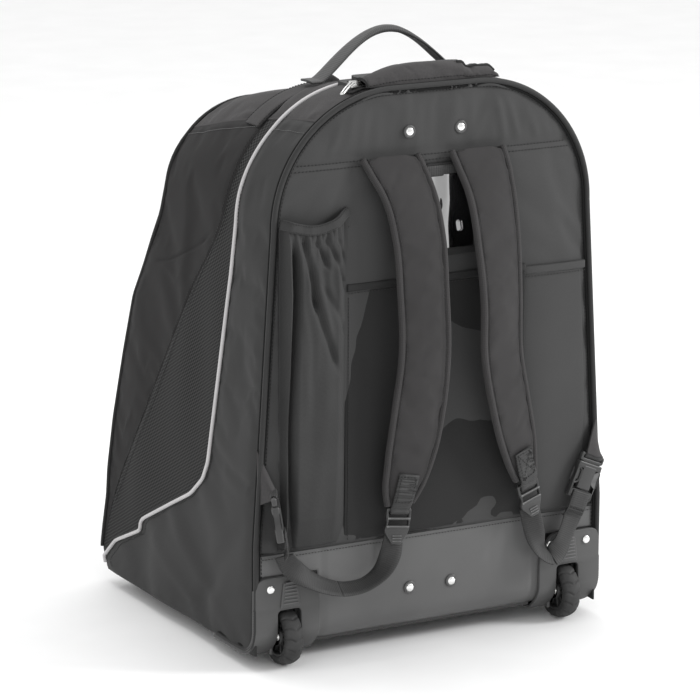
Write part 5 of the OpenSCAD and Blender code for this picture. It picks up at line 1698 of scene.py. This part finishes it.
def ladder_lock(word, at):
    to_world = hung(at)
    outline = rounded([(-16.5, 3.5), (16.5, 3.5), (16.5, -8), (15.2, -15), (16.5, -24), (12, -30.5), (6, -39),
                       (-6, -39), (-12, -30.5), (-16.5, -24), (-15.2, -15), (-16.5, -8)],
                      [3, 3, 4, 6, 4, 4, 2.5, 2.5, 4, 4, 6, 4], 5)
    upper = rectangle(-13.2, -7.2, 13.2, 0.2, 1.6)
    lower = rectangle(-13.2, -17.4, 13.2, -10.4, 1.6)

    def bend(co):
        co = co.copy()
        co[:, 2] += 1.6 * np.exp(-((co[:, 1] + 14) / 6) ** 2) + 2.6 * smooth_step(-co[:, 1], 24, 39)
        return co
    plate = moulded("lock_plate", [outline, upper, lower], 4.4, 1.3, "hardware_plastic", to_world, bend=bend)
    bars = []
    for y, lift in ((1.6, 0.0), (-8.8, 2.2), (-18.6, 1.8)):
        line = to_world(np.stack([np.linspace(-15, 15, 12), np.full(12, y), np.full(12, lift)], -1))
        bar = sweep("lock_bar", line, ring(1.9, 0.9, 10), (0, 0, 1), "hardware_plastic", body=None)
        bars.append(bar)
    grip = []
    for k in range(3):
        line = to_world(np.stack([np.linspace(-6, 6, 6), np.full(6, -29 - 3 * k), np.full(6, 3.6 + 0.5 * k)], -1))
        grip.append(sweep("lock_grip", line, ring(0.7, 1.0, 8), (0, 0, 1), "hardware_plastic", body=None))
    piece = join("lock_" + word, [plate] + bars + grip)
    piece.data.set_sharp_from_angle(angle=math.radians(40))
    finish_piece(piece, "ladder_lock_" + word, ["ladder_lock_" + word])


def buckle(word, at):
    """Side-release buckle: the socket takes the plug's two springy arms, seen in its side windows."""
    to_world = hung(at)
    body = rounded([(-16.5, -8), (16.5, -8), (17.2, -15), (15.6, -24), (17, -33), (16.5, -52), (-16.5, -52),
                    (-17, -33), (-15.6, -24), (-17.2, -15)], [2, 2, 4, 8, 4, 3, 3, 4, 8, 4], 5)
    windows = [rounded([(s * 15.0, -17), (s * 10.5, -19), (s * 10.5, -31), (s * 15.5, -34)], [1.5, 2, 2, 1.5], 3)
               for s in (-1, 1)]
    slot = rectangle(-13.4, -49.5, 13.4, -43.5, 1.5)
    shell = moulded("socket_shell", [body, slot] + windows, 9.0, 2.0, "hardware_plastic", to_world)
    inner = moulded("socket_inner", [rectangle(-9, -40, 9, -12, 2)], 10.2, 1.2, "hardware_plastic", to_world)
    socket = join("socket_" + word, [shell, inner])
    socket.data.set_sharp_from_angle(angle=math.radians(40))
    finish_piece(socket, "buckle_" + word, ["buckle_" + word])
    head = rounded([(-16.5, 2.6), (16.5, 2.6), (16.5, -6.5), (11, -8.4), (-11, -8.4), (-16.5, -6.5)],
                   [3, 3, 2, 2, 2, 2], 4)
    hole = rectangle(-13.2, -3.6, 13.2, -0.6, 1)
    plug = [moulded("plug_head", [head, hole], 6, 1.4, "hardware_plastic", to_world)]
    for s in (-1, 1):
        arm = rounded([(s * 9.0, -7), (s * 13.2, -7), (s * 13.6, -20), (s * 14.9, -24), (s * 13.0, -31),
                       (s * 10.2, -31.5)], [1, 1, 2, 1.5, 2, 1.5], 3)
        plug.append(moulded("plug_arm", [arm], 4.6, 1.0, "hardware_plastic", to_world))
    line = to_world(np.stack([np.linspace(-15, 15, 12), np.full(12, 1.0), np.zeros(12)], -1))
    plug.append(sweep("plug_bar", line, ring(2.3, 0.9, 10), (0, 0, 1), "hardware_plastic", body=None))
    piece = join("plug_" + word, plug)
    piece.data.set_sharp_from_angle(angle=math.radians(40))
    finish_piece(piece, "bag", ["strap_tabs"])
    front = np.stack([np.zeros(24), np.linspace(-43, -76, 24),
                      5.2 + 0.6 * np.sin(np.linspace(0, math.pi, 24)) - 4.2 * smooth_step(np.linspace(0, 1, 24), 0.75, 1)],
                     -1)
    n = unit(to_world(np.array([[0, 0, 1.0]])) - to_world(np.array([[0, 0, 0.0]])))[0]
    path = to_world(front)
    sweep("buckle_fold_" + word, path, strap_section(25, 2.0), n, "webbing", body="buckle_" + word)
    _, s, nn = frames(path, n)
    tack = []
    for k in (14, 15, 17, 18):
        tack.append((path[k] + nn[k] * 1.2 + s[k] * np.linspace(-10.5, 10.5, 12)[:, None], nn[k]))
    stitches("buckle_tack_" + word, tack, material="dark_thread", body="buckle_" + word, pitch=2.4, length=2.0)


def webbing_loops():
    for word, route, turns in (
            ("left", LOOP_LEFT, [(0, -1, 0.12), (-0.66, -0.28, 0.62), (0.04, -0.52, 0.86), (0.25, -0.62, 0.75),
                                 (-0.78, -0.62, 0)]),
            ("right", LOOP_RIGHT, [(-0.2, -1, 0.12), (-0.3, -0.95, 0.2), (0, -0.6, 0.8), (0.25, -0.95, 0.2),
                                   (-0.1, -1, 0)])):
        smooth = resample(route, 90)
        hint = unit(resample(turns, 90))
        half = 48
        section = strap_section(25, 1.9)
        upper = sweep("loop_%s_a" % word, smooth[:half + 1], section, hint[:half + 1], "webbing", body=None)
        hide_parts("strap_webbing_" + word)
        tuple(place([smooth[6]])[0])
        tuple(place([smooth[half - 4]])[0])
        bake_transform(upper)
        lower = sweep("loop_%s_b" % word, smooth[half:], section, hint[half:], "webbing", body=None)
        tuple(place([smooth[half + 4]])[0])
        tuple(place([smooth[86]])[0])
        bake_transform(lower)


def side_tabs():
    """Triangular canvas tabs sewn into the side seams, folded round the plugs' upper bars."""
    for word, at, root in (("left", BUCKLE_LEFT, [(-227, -1.5, 262), (-226, -1.5, 196)]),
                           ("right", BUCKLE_RIGHT, [(223, -4, 246), (225, -4, 206)])):
        to_world = hung(at)
        bar = to_world(np.array([[-12.2, 1.5, 3.0], [12.2, 1.5, 3.0]]))
        if word == "left":
            bar = bar[::-1]
        n = 24
        f = np.linspace(0, 1, n)[:, None]
        g = np.linspace(0, 1, n)[None, :]
        r = np.array(root, float)
        top_edge = r[0] * (1 - g[..., None]) + r[1] * g[..., None]
        low_edge = bar[0] * (1 - g[..., None]) + bar[1] * g[..., None]
        p = top_edge * (1 - f[..., None]) + low_edge * f[..., None]
        p[..., 1] -= 2.6 * np.sin(math.pi * f) * np.sin(math.pi * g)
        p[..., 1] -= 1.0 * ripple(p[..., [0, 2]], 16, 13) * np.sin(math.pi * f) * np.sin(math.pi * g)
        cloth_piece("tab_" + word, Sheet(p, side=1), "canvas", thick=2.2)
        loop = to_world(np.stack([np.zeros(18), 1.0 + 3.6 * np.cos(np.linspace(0, 2 * math.pi, 19)[:-1]),
                                  3.4 * np.sin(np.linspace(0, 2 * math.pi, 19)[:-1])], -1))
        centre = to_world(np.array([[0, 1.0, 0]]))[0]
        sweep("tab_fold_" + word, loop, strap_section(24.5, 1.6), unit(loop - centre), "webbing", closed=True)


# ------------------------------------------------------------------ top: storm flap, zip, handles


def storm_flap():
    """Padded channel over the zip; its left end tapers to the zip, its right end is folded down."""
    x = np.linspace(-86, 86, 110)[:, None]
    profile = resample([(1.0, 0.2, 0), (0.2, 7, 0), (2.4, 14.5, 0), (9, 19.4, 0), (17, 20.4, 0), (25, 18.2, 0),
                        (31, 11.5, 0), (32, 0.4, 0)], 40)[None, :, :2]
    tall = (0.42 + 0.58 * smooth_step(x, -92, -34)) * (1 - 0.30 * smooth_step(x, 40, 52)) * (
        1 - 0.62 * smooth_step(x, 74, 87))
    deep = 0.86 + 0.14 * smooth_step(x, -90, -50) - 0.10 * smooth_step(x, 42, 54)
    y = 1.0 + profile[..., 0] * deep
    z = 661.2 + profile[..., 1] * tall
    spot = np.stack(np.broadcast_arrays(x, y), -1)
    loose = np.sin(np.linspace(0, math.pi, 40))[None, :] ** 0.7
    z = z + loose * (0.5 * ripple(spot, (26, 12), 101) + crease(x + 0 * y, y, (44, 4), (50, 30), 3.2, -2.4)
                     + crease(x + 0 * y, y, (56, 2), (62, 26), 4, 1.0))
    sheet = Sheet(np.stack(np.broadcast_arrays(x, y, z), -1), side=-1)
    pins = np.zeros((110, 40))
    pins[:, :2] = pins[:, -2:] = 1
    settle(sheet, pressure=1.2, grow=0.012, cap=3.0, border=1, extra_pins=pins)
    return sheet


def storm_details(sheet):
    piece = cloth_piece("storm_flap_cloth", sheet, "canvas", body="storm_flap", replaces=["storm_flap"], thick=2.0, held=None)
    rows = np.linspace(0.02, 0.98, 120)
    runs = [sheet.at(rows, 0 * rows + 0.09, 0.3)]
    edge, _ = sheet.at(np.linspace(0.7, 0.985, 60), np.full(60, 0.40), 0.6)
    sweep("storm_edge", np.stack([edge[:, 0], edge[:, 1] - 1, edge[:, 2]], -1), ring(1.5, 1, 8), (0, -1, 0.3),
          "binding", body="storm_flap")
    left, n = sheet.at(np.full(40, 0.008), np.linspace(0.03, 0.97, 40), 0.2)
    sweep("storm_hem", left, strap_section(4.5, 2.4), n, "binding", body="storm_flap")
    stitches("storm_stitches", runs, material="dark_thread", body="storm_flap")
    x = np.linspace(-104, 90, 90)
    tape = np.stack([x, np.full(90, 17.0), 660.9 - 0.6 * smooth_step(-x, 90, 104) - 4.4 * smooth_step(-x, 84, 110)], -1)
    sweep("top_zip_tape", tape, strap_section(22, 1.0), (0, 0, 1), "zip_tape", replaces=["zip_deck"])
    stitches("top_zip_coil", [(tape + [0, 1.2, 0.8], (0, 0, 1)), (tape + [0, -1.2, 0.8], (0, 0, 1))],
             material="zip_teeth", pitch=2.0, length=1.3, width=2.6, height=1.3)


def pull_bars(name, root, body, node):
    """A zip pull: a folded wire with a cord tail, both bright, lying beside each other."""
    x, y, z = root
    made = []
    for k, off in enumerate((-3.0, 2.2)):
        line = resample([(x + 1, y + off * 0.4, z), (x - 5, y - 2.5 + off, z + 0.4),
                         (x - 14, y - 8 + off * 1.1, z - 2.6), (x - 25, y - 15 + off, z - 8.4)], 24)
        made.append(sweep("%s_bar_%d" % (name, k), line, ring(1.25, 0.75, 10), (0, 0, 1), "zip_metal", body=None))
    tie = resample([(x - 25, y - 18.0, z - 8.4), (x - 27, y - 16.4, z - 9.2), (x - 25, y - 12.8, z - 8.4)], 12)
    made.append(sweep(name + "_tie", tie, ring(1.25, 0.75, 10), (0, 0, 1), "zip_metal", body=None))
    piece = join(name, made)
    finish_piece(piece, body, [node])


def front_pull(word, sign):
    spot = np.array([sign * 9.0, 256.86, 589.09])
    down = np.array([0, math.sin(math.radians(15)), -math.cos(math.radians(15))])
    made = []
    for off in (-1.9, 1.9):
        line = np.array([spot + down * s + [off * min(1, s / 4), 0, 0] for s in np.linspace(0, 24, 14)])
        made.append(sweep("front_pull", line, ring(0.9, 1, 8), (0, 1, 0), "zip_metal", body=None))
    tail = np.array([spot + down * s for s in np.linspace(21, 31, 10)])
    made.append(sweep("front_pull_tail", tail, strap_section(5, 1.8), (0, 1, 0.2), "hardware_plastic", body=None))
    piece = join("pull_%s" % word, made)
    finish_piece(piece, "main_zip_pull_" + word, ["main_zip_pull_" + word])


def carry_handle():
    """Webbing sewn along the top panel, rising into the hand loop; its grip is rolled narrower."""
    carry_y = 112.0
    base = BODY_TOP - TOP_DROP * (carry_y / TOP_D) ** 2
    x = np.linspace(-104, 104, 150)
    skin = SHOULDER_Z + np.sqrt(SHOULDER_R ** 2 - np.clip(np.abs(x) - ARC_X, 0, None) ** 2) - (BODY_TOP - base)
    rise = 54 * np.cos(np.clip(x / 90, -1, 1) * math.pi / 2) ** 1.15
    high = np.maximum(skin + 4.0, base + 1.6 + rise)
    path = np.stack([x, np.full(150, carry_y) + 2.0 * np.sin(x / 60), high], -1)
    share = np.minimum(np.abs(x) / 88, 1)
    width = 1 - 0.52 * (1 - smooth_step(share, 0.05, 0.8))
    size = np.stack([width, 1 + 1.5 * (1 - smooth_step(share, 0.05, 0.7))], -1)
    normal = unit(np.cross(unit(np.gradient(path, axis=0)), np.broadcast_to([0.0, 1.0, 0.0], path.shape)))
    loop = sweep("hand_loop", path, strap_section(28, 2.6, dish=-0.7), normal, "webbing_light", body=None, size=size)
    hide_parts("carry_handle")
    tuple(place([(0, carry_y, base + 1)])[0])
    tuple(place([(0, carry_y, base + 30)])[0])
    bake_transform(loop)
    runs = []
    for sign in (-1, 1):
        angle = np.linspace(80, 43.5, 60)
        flat = top_point(angle, carry_y + 3.0 + 0 * angle, sign)
        n = unit(flat - np.stack([np.full(60, sign * ARC_X), flat[:, 1], np.full(60, SHOULDER_Z)], -1))
        flat = flat + n * 2.4
        start = np.array([[sign * 66.0, carry_y + 2.0 * math.sin(sign * 66 / 60), base + 3.0]])
        whole = resample(np.concatenate([start, flat[4:]]), 70)
        nn = unit(np.stack([np.interp(np.linspace(0, 1, 70), np.linspace(0, 1, 60), n[:, k]) for k in range(3)], -1))
        sweep("handle_tail_%s" % ("left" if sign < 0 else "right"), whole, strap_section(32, 2.0), nn, "canvas",
              replaces=["handle_anchors"])
        _, s, up = frames(whole, nn)
        for off in (-15, 15):
            runs.append((whole[8:] + s[8:] * off + up[8:] * 1.2, up[8:]))
        for k in (10, 12):
            runs.append((whole[k] + up[k] * 1.2 + s[k] * np.linspace(-14, 14, 12)[:, None], up[k]))
        dark = whole + s * (17.4 * -1) * np.sign((s[30] @ np.array([0, 1.0, 0])))
        sweep("tail_edge_%s" % ("left" if sign < 0 else "right"), dark[6:] - up[6:] * 0.4, strap_section(2.2, 1.4),
              nn[6:], "binding")
    stitches("handle_stitches", runs, material="dark_thread", pitch=3.8)


def bevelled_nodes():
    for name, width in (("handle_grip", 2.4), ("handle_button", 0.8), ("handle_tray", 1.2), ("handle_brackets", 0.8),
                        ("top_zip_slider", 0.9), ("main_zip_sliders", 0.9), ("front_feet", 1.5), ("axles", 0.3),
                        ("base_board", 0.8), ("handle_outer_tubes", 0.2), ("handle_inner_tubes", 0.2)):
        bevel_node(name, width)


# ------------------------------------------------------------------ build it

SLOTS = set()
for node_name, node_object in frame["nodes"].items():
    SLOTS.add(SLOT_OF[node_name])
    node_object.data.materials.clear()
    node_object.data.materials.append(MATERIALS[SLOT_OF[node_name]])

make_camera()
make_studio()
pads = {"left": pad_body("left", PAD_LEFT), "right": pad_body("right", PAD_RIGHT)}
storm = storm_flap()
build_shell()
finish_pads(pads)
storm_details(storm)
kick_panel()
for side_word, side_sign in (("left", -1), ("right", 1)):
    wheel_housing(side_word, side_sign)
    wheel(side_word, side_sign)
    front_pull(side_word, side_sign)
rivets()
bottle_pocket()
flat_panels()
id_holder()
strap("left", PAD_LEFT, LOCK_LEFT)
strap("right", PAD_RIGHT, LOCK_RIGHT)
ladder_lock("left", LOCK_LEFT)
ladder_lock("right", LOCK_RIGHT)
buckle("left", BUCKLE_LEFT)
buckle("right", BUCKLE_RIGHT)
webbing_loops()
side_tabs()
pull_bars("top_pull", (-92, 17, 666.6), "top_zip_pull", "top_zip_pull")
carry_handle()
bevelled_nodes()
